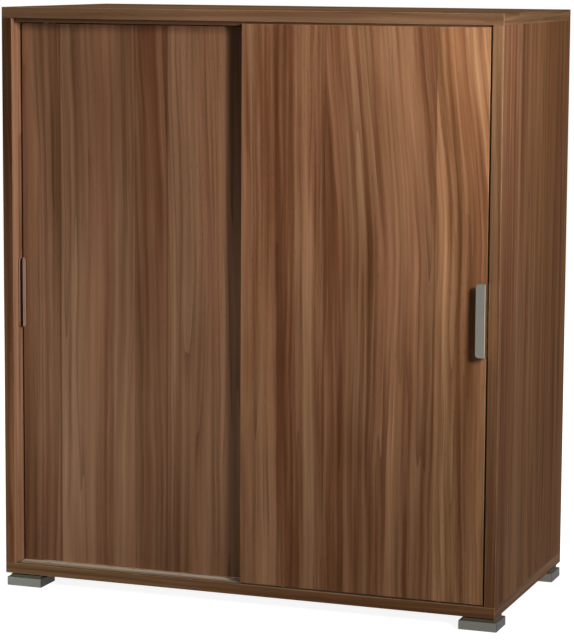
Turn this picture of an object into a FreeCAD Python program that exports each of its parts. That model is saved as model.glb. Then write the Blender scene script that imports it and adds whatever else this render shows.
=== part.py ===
import FreeCAD
import Part
import Sketcher
import os

# Sliding door cabinet.
# A board carcass on four block feet, split into two bays by a divider, with two shelves in each bay.
# Two doors pass each other: the right one runs in front of the left one. Each door stands on two grooved
# wheels that roll on a two-rib track let into the bottom panel, and two guides in its top edge run in
# the channels of a track under the top panel.
# Frame: X to the right, Y to the back, Z up. The origin is under the middle of the whole cabinet, at
# floor level. Lengths are millimetres.

document = FreeCAD.newDocument("sliding_door_cabinet")

# ---------------------------------------------------------------------------------------------------
# Driving dimensions
# ---------------------------------------------------------------------------------------------------
SIZES = {
    # carcass
    "carcass_width": 900.0,
    "carcass_depth": 440.0,
    "carcass_height": 1000.0,
    "board_thickness": 19.0,
    "board_edge_radius": 1.2,
    "divider_thickness": 16.0,
    "divider_clearance": 4.0,
    "back_thickness": 4.0,
    "back_inset": 12.0,
    "groove_depth": 6.0,
    "groove_clearance": 0.2,
    "fit_clearance": 0.1,
    # shelves and their pins
    "shelf_thickness": 16.0,
    "shelf_setback": 6.0,
    "shelf_side_clearance": 1.0,
    "lower_shelf_height": 329.0,
    "upper_shelf_height": 655.0,
    "pin_radius": 2.5,
    "pin_depth": 7.5,
    "pin_collar_radius": 4.0,
    "pin_collar_thickness": 0.8,
    "pin_reach": 6.0,
    "pin_column_inset": 40.0,
    "pin_step": 32.0,
    # dowels, cam bolts and cam locks of the corner joints
    "dowel_radius": 4.0,
    "dowel_length": 30.0,
    "dowel_depth": 12.0,
    "dowel_front_inset": 100.0,
    "dowel_back_inset": 60.0,
    "cam_front_inset": 135.0,
    "cam_back_inset": 95.0,
    "cam_radius": 7.5,
    "cam_height": 12.0,
    "cam_distance": 24.0,
    "cam_slot": 1.5,
    "bolt_thread_radius": 2.5,
    "bolt_thread_length": 11.0,
    "bolt_shaft_radius": 3.0,
    "bolt_neck_radius": 1.8,
    "bolt_head_length": 4.0,
    "bolt_neck_length": 4.0,
    # feet
    "foot_width": 66.0,
    "foot_depth": 58.0,
    "foot_height": 19.0,
    "foot_neck_height": 4.0,
    "foot_neck_inset": 5.0,
    "foot_wall": 3.5,
    "foot_floor": 8.0,
    "foot_edge_radius": 1.5,
    "foot_rim_radius": 0.8,
    "foot_left_inset": 8.0,
    "foot_right_overhang": 6.0,
    "foot_front_overhang": 11.0,
    "foot_back_inset": 25.0,
    "foot_screw_spacing": 26.0,
    "foot_boss_radius": 6.5,
    "foot_pad_thickness": 2.0,
    "foot_pad_recess": 1.0,
    "foot_pad_margin": 4.0,
    "foot_screw_head_depth": 4.0,
    "foot_screw_bite": 13.0,
    # doors
    "door_thickness": 16.0,
    "door_edge_radius": 1.0,
    "door_side_gap": 3.5,
    "door_overlap": 10.0,
    "door_bottom_gap": 2.2,
    "door_top_gap": 3.5,
    "outer_setback": 2.0,
    "door_spacing": 14.0,
    "lip_thickness": 5.0,
    # top track and guides
    "flange_drop": 7.0,
    "flange_thickness": 1.5,
    "flange_gap": 2.0,
    "lip_clearance": 1.5,
    "channel_width": 5.0,
    "track_plate": 1.5,
    "track_end_gap": 2.5,
    "guide_length": 24.0,
    "guide_width": 7.0,
    "guide_base_height": 12.0,
    "guide_clearance": 0.2,
    "guide_headroom": 0.5,
    "guide_nose_radius": 2.0,
    "guide_inset": 48.0,
    # bottom track and wheels
    "track_base": 2.0,
    "track_margin": 6.0,
    "rib_width": 2.4,
    "rib_height": 1.6,
    "rib_radius": 0.8,
    "rib_clearance": 0.3,
    "wheel_radius": 9.0,
    "rolling_radius": 7.5,
    "wheel_width": 6.0,
    "wheel_rim_width": 1.0,
    "wheel_clearance": 1.0,
    "wheel_side_clearance": 0.4,
    "wheel_bore_clearance": 0.08,
    "wheel_hole_radius": 1.2,
    "wheel_hole_circle": 4.8,
    "axle_radius": 2.0,
    "roller_inset": 78.0,
    "housing_length": 36.0,
    "housing_flange_length": 60.0,
    "housing_flange_thickness": 1.8,
    "housing_width": 10.8,
    "housing_roof": 2.6,
    "housing_screw_inset": 6.0,
    # pulls
    "pull_length": 122.0,
    "pull_thickness": 2.0,
    "pull_projection": 17.0,
    "pull_lip_width": 16.0,
    "pull_leg": 13.0,
    "pull_flange_width": 6.5,
    "pull_corner_radius": 6.0,
    "pull_bend_radius": 1.2,
    "pull_pass_clearance": 1.5,
    "pull_screw_inset": 20.0,
    # wafer-head screws
    "screw_head_radius": 3.4,
    "screw_head_height": 1.0,
    "screw_shank_radius": 1.5,
    "screw_length": 14.0,
    "screw_tip": 2.5,
    "foot_screw_head_radius": 4.0,
    "foot_screw_head_height": 2.6,
    "foot_screw_shank_radius": 2.0,
    "screw_seat_clearance": 0.3,
    "track_screw_inset": 50.0,
    "back_screw_inset": 120.0,
    "back_screw_length": 22.0,
}

TRACK_SCREWS = 4
BACK_SCREWS = 4
WHEEL_HOLES = 3

# ---------------------------------------------------------------------------------------------------
# Sizes that follow from the driving ones, as formulas of the sheet. Depths named *_y are behind the
# front of the carcass, and door_z is above the underside of the bottom panel.
# ---------------------------------------------------------------------------------------------------
FITS = {
    "inner_width": "sizes.carcass_width - 2 * sizes.board_thickness",
    "inner_height": "sizes.carcass_height - 2 * sizes.board_thickness",
    "front_reach": "max(sizes.pull_projection - sizes.outer_setback; sizes.foot_front_overhang)",
    "left_x": "-(sizes.carcass_width + sizes.foot_right_overhang) / 2",
    "front_y": "(front_reach - sizes.carcass_depth) / 2",
    "pad_drop": "sizes.foot_pad_thickness - sizes.foot_pad_recess",
    "carcass_z": "sizes.foot_height + pad_drop",
    # doors
    "door_width": "(inner_width - 2 * sizes.door_side_gap + sizes.door_overlap) / 2",
    "inner_setback": "sizes.outer_setback + sizes.door_thickness + sizes.door_spacing",
    "door_z": "sizes.board_thickness + sizes.door_bottom_gap",
    "outer_door_height": "sizes.carcass_height - sizes.board_thickness - sizes.door_top_gap - door_z",
    "low_top": "sizes.carcass_height - sizes.board_thickness - sizes.flange_drop - sizes.flange_gap",
    "inner_door_height": "low_top - door_z",
    "left_door_x": "sizes.board_thickness + sizes.door_side_gap",
    "right_door_x": "sizes.carcass_width - sizes.board_thickness - sizes.door_side_gap - door_width",
    # back, divider and shelves
    "back_face_y": "sizes.carcass_depth - sizes.back_inset - sizes.back_thickness",
    "groove_y": "back_face_y - sizes.groove_clearance",
    "groove_width": "sizes.back_thickness + 2 * sizes.groove_clearance",
    "back_bite": "sizes.groove_depth - sizes.groove_clearance",
    "divider_y": "inner_setback + sizes.door_thickness + sizes.divider_clearance",
    "divider_depth": "back_face_y - divider_y",
    "divider_x": "(sizes.carcass_width - sizes.divider_thickness) / 2",
    "bay_width": "(inner_width - sizes.divider_thickness) / 2",
    "shelf_y": "divider_y + sizes.shelf_setback",
    "shelf_depth": "back_face_y - shelf_y - sizes.groove_clearance",
    "shelf_width": "bay_width - 2 * sizes.shelf_side_clearance",
    "pin_front_y": "shelf_y + sizes.pin_column_inset",
    "pin_back_y": "back_face_y - sizes.pin_column_inset",
    "pin_hole_radius": "sizes.pin_radius + sizes.fit_clearance",
    # joints of the boards
    "dowel_hole_radius": "sizes.dowel_radius + sizes.fit_clearance",
    "dowel_back_y": "sizes.carcass_depth - sizes.dowel_back_inset",
    "cam_back_y": "sizes.carcass_depth - sizes.cam_back_inset",
    "cam_hole_radius": "sizes.cam_radius + sizes.fit_clearance",
    "bolt_hole_radius": "sizes.bolt_shaft_radius + sizes.fit_clearance",
    "bolt_reach": "sizes.cam_distance + sizes.bolt_head_length / 2",
    # top track
    "guide_offset": "sizes.lip_thickness + sizes.lip_clearance + sizes.flange_thickness"
                    " + sizes.channel_width / 2",
    "channel_wall": "sizes.channel_width / 2 + sizes.flange_thickness",
    "top_track_y": "sizes.outer_setback + guide_offset - channel_wall",
    "track_pitch": "sizes.door_thickness + sizes.door_spacing",
    "top_track_depth": "track_pitch + 2 * channel_wall",
    "track_length": "inner_width - 2 * sizes.track_end_gap",
    "track_x": "sizes.board_thickness + sizes.track_end_gap",
    "track_screw_pitch": "(track_length - 2 * sizes.track_screw_inset) / %d" % (TRACK_SCREWS - 1),
    "fin_thickness": "sizes.channel_width - 2 * sizes.guide_clearance",
    "fin_height": "sizes.flange_gap + sizes.flange_drop - sizes.track_plate - sizes.guide_headroom",
    # bottom track and rollers
    "door_middle": "sizes.door_thickness / 2",
    "bottom_track_y": "sizes.outer_setback + door_middle - sizes.track_margin",
    "bottom_track_depth": "track_pitch + 2 * sizes.track_margin",
    "axle_height": "sizes.rib_height + sizes.rib_clearance + sizes.rolling_radius - sizes.door_bottom_gap",
    "wheel_slot_length": "2 * (sizes.wheel_radius + sizes.wheel_clearance)",
    "wheel_slot_width": "sizes.wheel_width + 2 * sizes.wheel_side_clearance",
    "wheel_slot_height": "axle_height + sizes.wheel_radius + sizes.wheel_clearance",
    "housing_height": "wheel_slot_height + sizes.housing_roof",
    "groove_floor": "sizes.rib_width + 2 * sizes.rib_clearance",
    "wheel_shoulder": "(sizes.wheel_width - groove_floor) / 2",
    "wheel_bore_radius": "sizes.axle_radius + sizes.wheel_bore_clearance",
    # pulls
    "pull_z": "sizes.carcass_height / 2 - sizes.pull_length / 2 - door_z",
    "fin_projection": "sizes.door_spacing - sizes.pull_pass_clearance",
    # screws
    "screw_hole_radius": "sizes.screw_shank_radius + sizes.fit_clearance",
    "screw_seat_radius": "sizes.screw_head_radius + sizes.screw_seat_clearance",
    "screw_bite": "sizes.screw_length - sizes.screw_head_height",
    "foot_block_height": "sizes.foot_height - sizes.foot_neck_height",
    "foot_hollow_inset": "sizes.foot_neck_inset + sizes.foot_wall",
    "foot_screw_hole_radius": "sizes.foot_screw_shank_radius + sizes.fit_clearance",
    "foot_screw_seat_radius": "sizes.foot_screw_head_radius + sizes.screw_seat_clearance",
    "foot_screw_seat_z": "sizes.foot_pad_recess + sizes.foot_screw_head_depth",
    "foot_screw_length": "sizes.foot_screw_head_height + sizes.foot_height - foot_screw_seat_z"
                         " + sizes.foot_screw_bite",
    "back_screw_pitch": "(inner_height - 2 * sizes.back_screw_inset) / %d" % (BACK_SCREWS - 1),
}


def fill_sheet(label, entries, prefix):
    """A spreadsheet with one aliased cell for each entry."""
    sheet = document.addObject("Spreadsheet::Sheet", label)
    for row, (alias, content) in enumerate(entries.items(), start=1):
        sheet.set("A%d" % row, prefix + str(content))
        sheet.setAlias("A%d" % row, alias)
    return sheet


sizes = fill_sheet("sizes", SIZES, "")
document.recompute()
fits = fill_sheet("fits", FITS, "=")
document.recompute()

ACCURACY = 1e-6
BOARD = "sizes.board_thickness"
WIDTH = "sizes.carcass_width"
DEPTH = "sizes.carcass_depth"
HEIGHT = "sizes.carcass_height"


def value(formula):
    """The number that a formula gives."""
    return float(fits.evalExpression(str(formula)))


# ---------------------------------------------------------------------------------------------------
# Modelling helpers
# ---------------------------------------------------------------------------------------------------
def place(thing, x, y, z, rotation=None):
    """Put an object at a place of the carcass: x from its left side, y from its front, z from its base."""
    if rotation is not None:
        thing.Placement = FreeCAD.Placement(FreeCAD.Vector(), rotation)
    thing.setExpression("Placement.Base.x", "fits.left_x + (%s)" % x)
    thing.setExpression("Placement.Base.y", "fits.front_y + (%s)" % y)
    thing.setExpression("Placement.Base.z", "fits.carcass_z + (%s)" % z)


def new_body(label):
    body = document.addObject("PartDesign::Body", label)
    body.Label = label
    return body


def new_sketch(body, plane, offset):
    """A sketch on one of the body's own planes, moved along the plane's normal."""
    sketch = body.newObject("Sketcher::SketchObject", body.Name + "_sketch")
    support = [item for item in body.Origin.OriginFeatures if item.Role == plane][0]
    sketch.AttachmentSupport = (support, [""])
    sketch.MapMode = "FlatFace"
    sketch.setExpression("AttachmentOffset.Base.z", str(offset))
    return sketch


def pin_point(sketch, geometry, end, x, y):
    """Tie one sketch point to its two distances from the sketch origin."""
    for kind, formula in (("DistanceX", x), ("DistanceY", y)):
        constraint = Sketcher.Constraint(kind, -1, 1, geometry, end, value(formula))
        index = sketch.addConstraint(constraint)
        sketch.setExpression("Constraints[%d]" % index, str(formula))


def polygon(sketch, points):
    """A closed outline with straight sides, each corner given by two formulas."""
    corners = [FreeCAD.Vector(value(x), value(y), 0) for x, y in points]
    first = sketch.GeometryCount
    count = len(points)
    for index in range(count):
        sketch.addGeometry(Part.LineSegment(corners[index], corners[(index + 1) % count]), False)
    for index in range(count):
        following = first + (index + 1) % count
        sketch.addConstraint(Sketcher.Constraint("Coincident", first + index, 2, following, 1))
    for index, (x, y) in enumerate(points):
        pin_point(sketch, first + index, 1, x, y)


def rectangle(sketch, x, y, width, height):
    """A rectangle from its corner nearest the sketch origin and its two lengths."""
    right = "(%s) + (%s)" % (x, width)
    top = "(%s) + (%s)" % (y, height)
    polygon(sketch, [(x, y), (right, y), (right, top), (x, top)])


def circles(sketch, centres, radius):
    """Equal circles at centres given by pairs of formulas."""
    for x, y in centres:
        centre = FreeCAD.Vector(value(x), value(y), 0)
        index = sketch.addGeometry(Part.Circle(centre, FreeCAD.Vector(0, 0, 1), value(radius)), False)
        pin_point(sketch, index, 3, x, y)
        constraint = sketch.addConstraint(Sketcher.Constraint("Radius", index, value(radius)))
        sketch.setExpression("Constraints[%d]" % constraint, str(radius))


def pad(body, sketch, length, reverse=False):
    feature = body.newObject("PartDesign::Pad", body.Name + "_pad")
    feature.Profile = sketch
    feature.Reversed = reverse
    feature.setExpression("Length", str(length))
    document.recompute()
    return feature


def pocket(body, sketch, depth, reverse=False):
    """Cut a sketch into the body, and make sure that the cut goes into the solid."""
    before = body.Shape.Volume
    feature = body.newObject("PartDesign::Pocket", body.Name + "_pocket")
    feature.Profile = sketch
    feature.Reversed = reverse
    feature.setExpression("Length", str(depth))
    document.recompute()
    if not body.Shape.Volume < before:
        raise RuntimeError("cut missed the solid of " + body.Label)
    return feature


def cut_rectangle(body, plane, offset, corner, lengths, depth, reverse=False):
    sketch = new_sketch(body, plane, offset)
    rectangle(sketch, corner[0], corner[1], lengths[0], lengths[1])
    return pocket(body, sketch, depth, reverse)


def cut_holes(body, plane, offset, centres, radius, depth, reverse=False):
    sketch = new_sketch(body, plane, offset)
    circles(sketch, centres, radius)
    return pocket(body, sketch, depth, reverse)


def round_edges(body, radius, chosen):
    """Fillet the edges whose bounding box the test accepts."""
    base = body.Tip
    edges = base.Shape.Edges
    names = ["Edge%d" % (index + 1) for index, edge in enumerate(edges) if chosen(edge.BoundBox)]
    if not names:
        raise RuntimeError("no edge to round on " + body.Label)
    feature = body.newObject("PartDesign::Fillet", body.Name + "_fillet")
    feature.Base = (base, names)
    feature.setExpression("Radius", str(radius))
    document.recompute()
    return feature


def block(label, width, depth, height):
    """A body that starts as a box with its near lower left corner at its own origin."""
    body = new_body(label)
    sketch = new_sketch(body, "XY_Plane", "0")
    rectangle(sketch, "0", "0", width, depth)
    pad(body, sketch, height)
    return body


def same(first, second):
    """Whether two lengths agree within modelling accuracy."""
    return abs(first - second) < ACCURACY


def on_front(box):
    """Edges that lie in the front face of a body."""
    return same(box.YMin, 0) and same(box.YMax, 0)


def copies(label, master, places):
    """One node of separate equal solids: links to a master body, each at (x, y, z, rotation)."""
    links = []
    for index, (x, y, z, rotation) in enumerate(places, start=1):
        link = document.addObject("App::Link", "%s_%d" % (label, index))
        link.LinkedObject = master
        link.LinkTransform = False
        place(link, x, y, z, rotation)
        links.append(link)
    group = document.addObject("Part::Compound", label)
    group.Label = label
    group.Links = links
    document.recompute()
    return group


def turned(main, side):
    """A rotation that sends Z to the direction main and X to the direction side."""
    forward = FreeCAD.Vector(*main)
    across = FreeCAD.Vector(*side)
    return FreeCAD.Rotation(across, forward.cross(across), forward, "ZXY")


UPRIGHT = turned((0, 0, 1), (1, 0, 0))
DOWNWARD = turned((0, 0, -1), (1, 0, 0))
TO_LEFT = turned((-1, 0, 0), (0, 1, 0))
TO_RIGHT = turned((1, 0, 0), (0, 1, 0))
TO_BACK = turned((0, 1, 0), (1, 0, 0))

nodes = []

# ---------------------------------------------------------------------------------------------------
# Places that several boards share
# ---------------------------------------------------------------------------------------------------
SIDE_AXES = ["%s / 2" % BOARD, "%s - %s / 2" % (WIDTH, BOARD)]
DIVIDER_AXIS = "%s / 2" % WIDTH
DOWEL_DEPTHS = ["sizes.dowel_front_inset", "fits.dowel_back_y"]
CAM_DEPTHS = ["sizes.cam_front_inset", "fits.cam_back_y"]
DOWEL_PLACES = [(x, y) for x in SIDE_AXES + [DIVIDER_AXIS] for y in DOWEL_DEPTHS]
BOLT_PLACES = [(x, y) for x in SIDE_AXES for y in CAM_DEPTHS]

FOOT_LEFT_X = "sizes.foot_left_inset"
FOOT_RIGHT_X = "%s + sizes.foot_right_overhang - sizes.foot_width" % WIDTH
FOOT_FRONT_Y = "-sizes.foot_front_overhang"
FOOT_BACK_Y = "%s - sizes.foot_back_inset - sizes.foot_depth" % DEPTH
FEET = {
    "front_left": (FOOT_LEFT_X, FOOT_FRONT_Y),
    "front_right": (FOOT_RIGHT_X, FOOT_FRONT_Y),
    "back_left": (FOOT_LEFT_X, FOOT_BACK_Y),
    "back_right": (FOOT_RIGHT_X, FOOT_BACK_Y),
}
FOOT_SCREWS = [("(sizes.foot_width %s sizes.foot_screw_spacing) / 2" % sign, "sizes.foot_depth / 2")
               for sign in ("-", "+")]
FOOT_SCREW_PLACES = [("%s + %s" % (foot_x, x), "%s + %s" % (foot_y, y))
                     for foot_x, foot_y in FEET.values() for x, y in FOOT_SCREWS]

TRACK_SCREW_XS = ["sizes.track_screw_inset + %d * fits.track_screw_pitch" % index
                  for index in range(TRACK_SCREWS)]
TOP_SCREW_Y = "fits.top_track_depth / 2"
BOTTOM_SCREW_Y = "fits.bottom_track_depth / 2"
SHELF_HEIGHTS = {"lower": "sizes.lower_shelf_height", "upper": "sizes.upper_shelf_height"}
PIN_DEPTHS = ["fits.pin_front_y", "fits.pin_back_y"]


# ---------------------------------------------------------------------------------------------------
# Carcass boards
# ---------------------------------------------------------------------------------------------------
def groove(body, plane, offset, corner, lengths, reverse):
    """The groove that holds one edge of the back panel."""
    cut_rectangle(body, plane, offset, corner, lengths, "sizes.groove_depth", reverse)


def end_panel(label, inner_face, reverse):
    """The top or bottom panel, with the groove and the joint holes in its inner face."""
    body = block(label, WIDTH, DEPTH, BOARD)
    round_edges(body, "sizes.board_edge_radius", on_front)
    groove_x = "%s - sizes.groove_depth" % BOARD
    groove_length = "fits.inner_width + 2 * sizes.groove_depth"
    groove(body, "XY_Plane", inner_face, (groove_x, "fits.groove_y"),
           (groove_length, "fits.groove_width"), reverse)
    dowel_hole = "sizes.dowel_depth + sizes.fit_clearance"
    bolt_hole = "sizes.bolt_thread_length + sizes.fit_clearance"
    thread_radius = "sizes.bolt_thread_radius + sizes.fit_clearance"
    cut_holes(body, "XY_Plane", inner_face, DOWEL_PLACES, "fits.dowel_hole_radius", dowel_hole, reverse)
    cut_holes(body, "XY_Plane", inner_face, BOLT_PLACES, thread_radius, bolt_hole, reverse)
    return body


def track_pilot_holes(y, start):
    """Screw holes under a track, in the frame of the board that carries it."""
    return [("fits.track_x + %s" % x, "%s + %s" % (start, y)) for x in TRACK_SCREW_XS]


bottom_panel = end_panel("bottom_panel", BOARD, False)
cut_rectangle(bottom_panel, "XY_Plane", BOARD, ("fits.track_x", "fits.bottom_track_y"),
              ("fits.track_length", "fits.bottom_track_depth"), "sizes.track_base")
cut_holes(bottom_panel, "XY_Plane", "%s - sizes.track_base" % BOARD,
          track_pilot_holes(BOTTOM_SCREW_Y, "fits.bottom_track_y"), "fits.screw_hole_radius",
          "fits.screw_bite - sizes.track_base + sizes.screw_head_height + sizes.fit_clearance")
cut_holes(bottom_panel, "XY_Plane", "0", FOOT_SCREW_PLACES, "fits.foot_screw_hole_radius",
          "sizes.foot_screw_bite + sizes.fit_clearance", True)
place(bottom_panel, "0", "0", "0")
nodes.append(bottom_panel)

top_panel = end_panel("top_panel", "0", True)
cut_holes(top_panel, "XY_Plane", "0", track_pilot_holes(TOP_SCREW_Y, "fits.top_track_y"),
          "fits.screw_hole_radius",
          "fits.screw_bite - sizes.track_plate + sizes.screw_head_height + sizes.fit_clearance", True)
place(top_panel, "0", "0", "%s - %s" % (HEIGHT, BOARD))
nodes.append(top_panel)


def pin_hole_centres(height_shift):
    """Shelf pin holes, three to a column at each shelf, as pairs of depth and height."""
    centres = []
    for shelf in SHELF_HEIGHTS.values():
        for step in (-1, 0, 1):
            height = "%s - sizes.pin_radius + %d * sizes.pin_step - %s" % (shelf, step, height_shift)
            centres += [(y, height) for y in PIN_DEPTHS]
    return centres


def end_holes(body, centres, radius, depth, height):
    """Equal holes in the lower and the upper end of an upright board."""
    cut_holes(body, "XY_Plane", "0", centres, radius, depth, True)
    cut_holes(body, "XY_Plane", height, centres, radius, depth, False)


def side_panel(label, inner_face, reverse):
    """An upright side, with the joint holes in its ends and the cam and pin holes inside."""
    body = block(label, BOARD, DEPTH, "fits.inner_height")
    round_edges(body, "sizes.board_edge_radius",
                lambda box: on_front(box) and same(box.XMin, box.XMax))
    groove(body, "YZ_Plane", inner_face, ("fits.groove_y", "0"),
           ("fits.groove_width", "fits.inner_height"), reverse)
    middle = "%s / 2" % BOARD
    end_holes(body, [(middle, y) for y in DOWEL_DEPTHS], "fits.dowel_hole_radius",
              "sizes.dowel_length - sizes.dowel_depth + sizes.fit_clearance", "fits.inner_height")
    end_holes(body, [(middle, y) for y in CAM_DEPTHS], "fits.bolt_hole_radius",
              "fits.bolt_reach + sizes.fit_clearance", "fits.inner_height")
    cam_centres = [(y, z) for y in CAM_DEPTHS
                   for z in ("sizes.cam_distance", "fits.inner_height - sizes.cam_distance")]
    cut_holes(body, "YZ_Plane", inner_face, cam_centres, "fits.cam_hole_radius",
              "sizes.cam_height + sizes.fit_clearance", reverse)
    cut_holes(body, "YZ_Plane", inner_face, pin_hole_centres(BOARD), "fits.pin_hole_radius",
              "sizes.pin_depth + sizes.fit_clearance", reverse)
    return body


left_side_panel = side_panel("left_side_panel", BOARD, False)
place(left_side_panel, "0", "0", BOARD)
nodes.append(left_side_panel)

right_side_panel = side_panel("right_side_panel", "0", True)
place(right_side_panel, "%s - %s" % (WIDTH, BOARD), "0", BOARD)
nodes.append(right_side_panel)

centre_divider = block("centre_divider", "sizes.divider_thickness", "fits.divider_depth",
                       "fits.inner_height")
end_holes(centre_divider,
          [("sizes.divider_thickness / 2", "%s - fits.divider_y" % y) for y in DOWEL_DEPTHS],
          "fits.dowel_hole_radius", "sizes.dowel_length - sizes.dowel_depth + sizes.fit_clearance",
          "fits.inner_height")
divider_pin_holes = [("%s - fits.divider_y" % y, z) for y, z in pin_hole_centres(BOARD)]
cut_holes(centre_divider, "YZ_Plane", "0", divider_pin_holes, "fits.pin_hole_radius",
          "sizes.divider_thickness", True)
BACK_SCREW_ZS = ["sizes.back_screw_inset + %d * fits.back_screw_pitch" % index
                 for index in range(BACK_SCREWS)]
cut_holes(centre_divider, "XZ_Plane", "-fits.divider_depth",
          [("sizes.divider_thickness / 2", z) for z in BACK_SCREW_ZS], "fits.screw_hole_radius",
          "sizes.back_screw_length - sizes.back_thickness", True)
place(centre_divider, "fits.divider_x", "fits.divider_y", BOARD)
nodes.append(centre_divider)

back_panel = block("back_panel", "fits.inner_width + 2 * fits.back_bite", "sizes.back_thickness",
                   "fits.inner_height + 2 * fits.back_bite")
cut_holes(back_panel, "XZ_Plane", "0",
          [("fits.back_bite + fits.inner_width / 2", "fits.back_bite + %s" % z) for z in BACK_SCREW_ZS],
          "fits.screw_hole_radius", "sizes.back_thickness")
place(back_panel, "%s - fits.back_bite" % BOARD, "fits.back_face_y", "%s - fits.back_bite" % BOARD)
nodes.append(back_panel)

BAYS = {
    "left": "%s + sizes.shelf_side_clearance" % BOARD,
    "right": "fits.divider_x + sizes.divider_thickness + sizes.shelf_side_clearance",
}
for bay, shelf_x in BAYS.items():
    for level, shelf_z in SHELF_HEIGHTS.items():
        shelf = block("shelf_%s_%s" % (bay, level), "fits.shelf_width", "fits.shelf_depth",
                      "sizes.shelf_thickness")
        round_edges(shelf, "sizes.board_edge_radius",
                    lambda box: on_front(box) and same(box.ZMin, box.ZMax))
        place(shelf, shelf_x, "fits.shelf_y", shelf_z)
        nodes.append(shelf)


# ---------------------------------------------------------------------------------------------------
# Turned pieces: profiles of radius and height, revolved about Z
# ---------------------------------------------------------------------------------------------------
def turned_body(label, points):
    body = new_body(label)
    sketch = new_sketch(body, "XZ_Plane", "0")
    polygon(sketch, points)
    feature = body.newObject("PartDesign::Revolution", label + "_revolution")
    feature.Profile = sketch
    feature.ReferenceAxis = (sketch, ["V_Axis"])
    document.recompute()
    return body


def screw_master(label, head_radius, head_height, shank_radius, length):
    """A flat-head screw whose tip is at its origin and whose head is at the top."""
    neck = "%s - %s" % (length, head_height)
    return turned_body(label, [("0", "0"), (shank_radius, "sizes.screw_tip"), (shank_radius, neck),
                               (head_radius, neck), (head_radius, length), ("0", length)])


screw = screw_master("screw_form", "sizes.screw_head_radius", "sizes.screw_head_height",
                     "sizes.screw_shank_radius", "sizes.screw_length")
back_screw = screw_master("back_screw_form", "sizes.screw_head_radius", "sizes.screw_head_height",
                          "sizes.screw_shank_radius", "sizes.back_screw_length")
foot_screw = screw_master("foot_screw_form", "sizes.foot_screw_head_radius",
                          "sizes.foot_screw_head_height", "sizes.foot_screw_shank_radius",
                          "fits.foot_screw_length")

shelf_pin = turned_body("shelf_pin_form", [
    ("0", "0"),
    ("sizes.pin_radius", "0"),
    ("sizes.pin_radius", "sizes.pin_depth"),
    ("sizes.pin_collar_radius", "sizes.pin_depth"),
    ("sizes.pin_collar_radius", "sizes.pin_depth + sizes.pin_collar_thickness"),
    ("sizes.pin_radius", "sizes.pin_depth + sizes.pin_collar_thickness"),
    ("sizes.pin_radius", "sizes.pin_depth + sizes.pin_collar_thickness + sizes.pin_reach"),
    ("0", "sizes.pin_depth + sizes.pin_collar_thickness + sizes.pin_reach"),
])
PIN_WALLS = {
    "left": [("%s - sizes.pin_depth" % BOARD, TO_RIGHT),
             ("fits.divider_x + sizes.pin_depth", TO_LEFT)],
    "right": [("fits.divider_x + sizes.divider_thickness - sizes.pin_depth", TO_RIGHT),
              ("%s - %s + sizes.pin_depth" % (WIDTH, BOARD), TO_LEFT)],
}
for bay, walls in PIN_WALLS.items():
    for level, shelf_z in SHELF_HEIGHTS.items():
        pin_places = [(x, y, "%s - sizes.pin_radius" % shelf_z, turn)
                      for x, turn in walls for y in PIN_DEPTHS]
        nodes.append(copies("shelf_pins_%s_%s" % (bay, level), shelf_pin, pin_places))

dowel = turned_body("dowel_form", [("0", "0"), ("sizes.dowel_radius", "0"),
                                   ("sizes.dowel_radius", "sizes.dowel_length"),
                                   ("0", "sizes.dowel_length")])
dowel_places = [(x, y, z, UPRIGHT) for x, y in DOWEL_PLACES
                for z in ("%s - sizes.dowel_depth" % BOARD,
                          "%s - %s + sizes.dowel_depth - sizes.dowel_length" % (HEIGHT, BOARD))]
nodes.append(copies("wood_dowels", dowel, dowel_places))

BOLT_LENGTH = "sizes.bolt_thread_length + fits.bolt_reach"
HEAD_START = "%s - sizes.bolt_head_length" % BOLT_LENGTH
NECK_START = "%s - sizes.bolt_neck_length" % HEAD_START
cam_bolt = turned_body("cam_bolt_form", [
    ("0", "0"),
    ("sizes.bolt_thread_radius", "0"),
    ("sizes.bolt_thread_radius", "sizes.bolt_thread_length"),
    ("sizes.bolt_shaft_radius", "sizes.bolt_thread_length"),
    ("sizes.bolt_shaft_radius", NECK_START),
    ("sizes.bolt_neck_radius", NECK_START),
    ("sizes.bolt_neck_radius", HEAD_START),
    ("sizes.bolt_shaft_radius", HEAD_START),
    ("sizes.bolt_shaft_radius", BOLT_LENGTH),
    ("0", BOLT_LENGTH),
])
BOLT_BASES = [("%s - sizes.bolt_thread_length" % BOARD, UPRIGHT),
              ("%s - %s + sizes.bolt_thread_length" % (HEIGHT, BOARD), DOWNWARD)]
nodes.append(copies("cam_bolts", cam_bolt,
                    [(x, y, z, turn) for x, y in BOLT_PLACES for z, turn in BOLT_BASES]))

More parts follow.
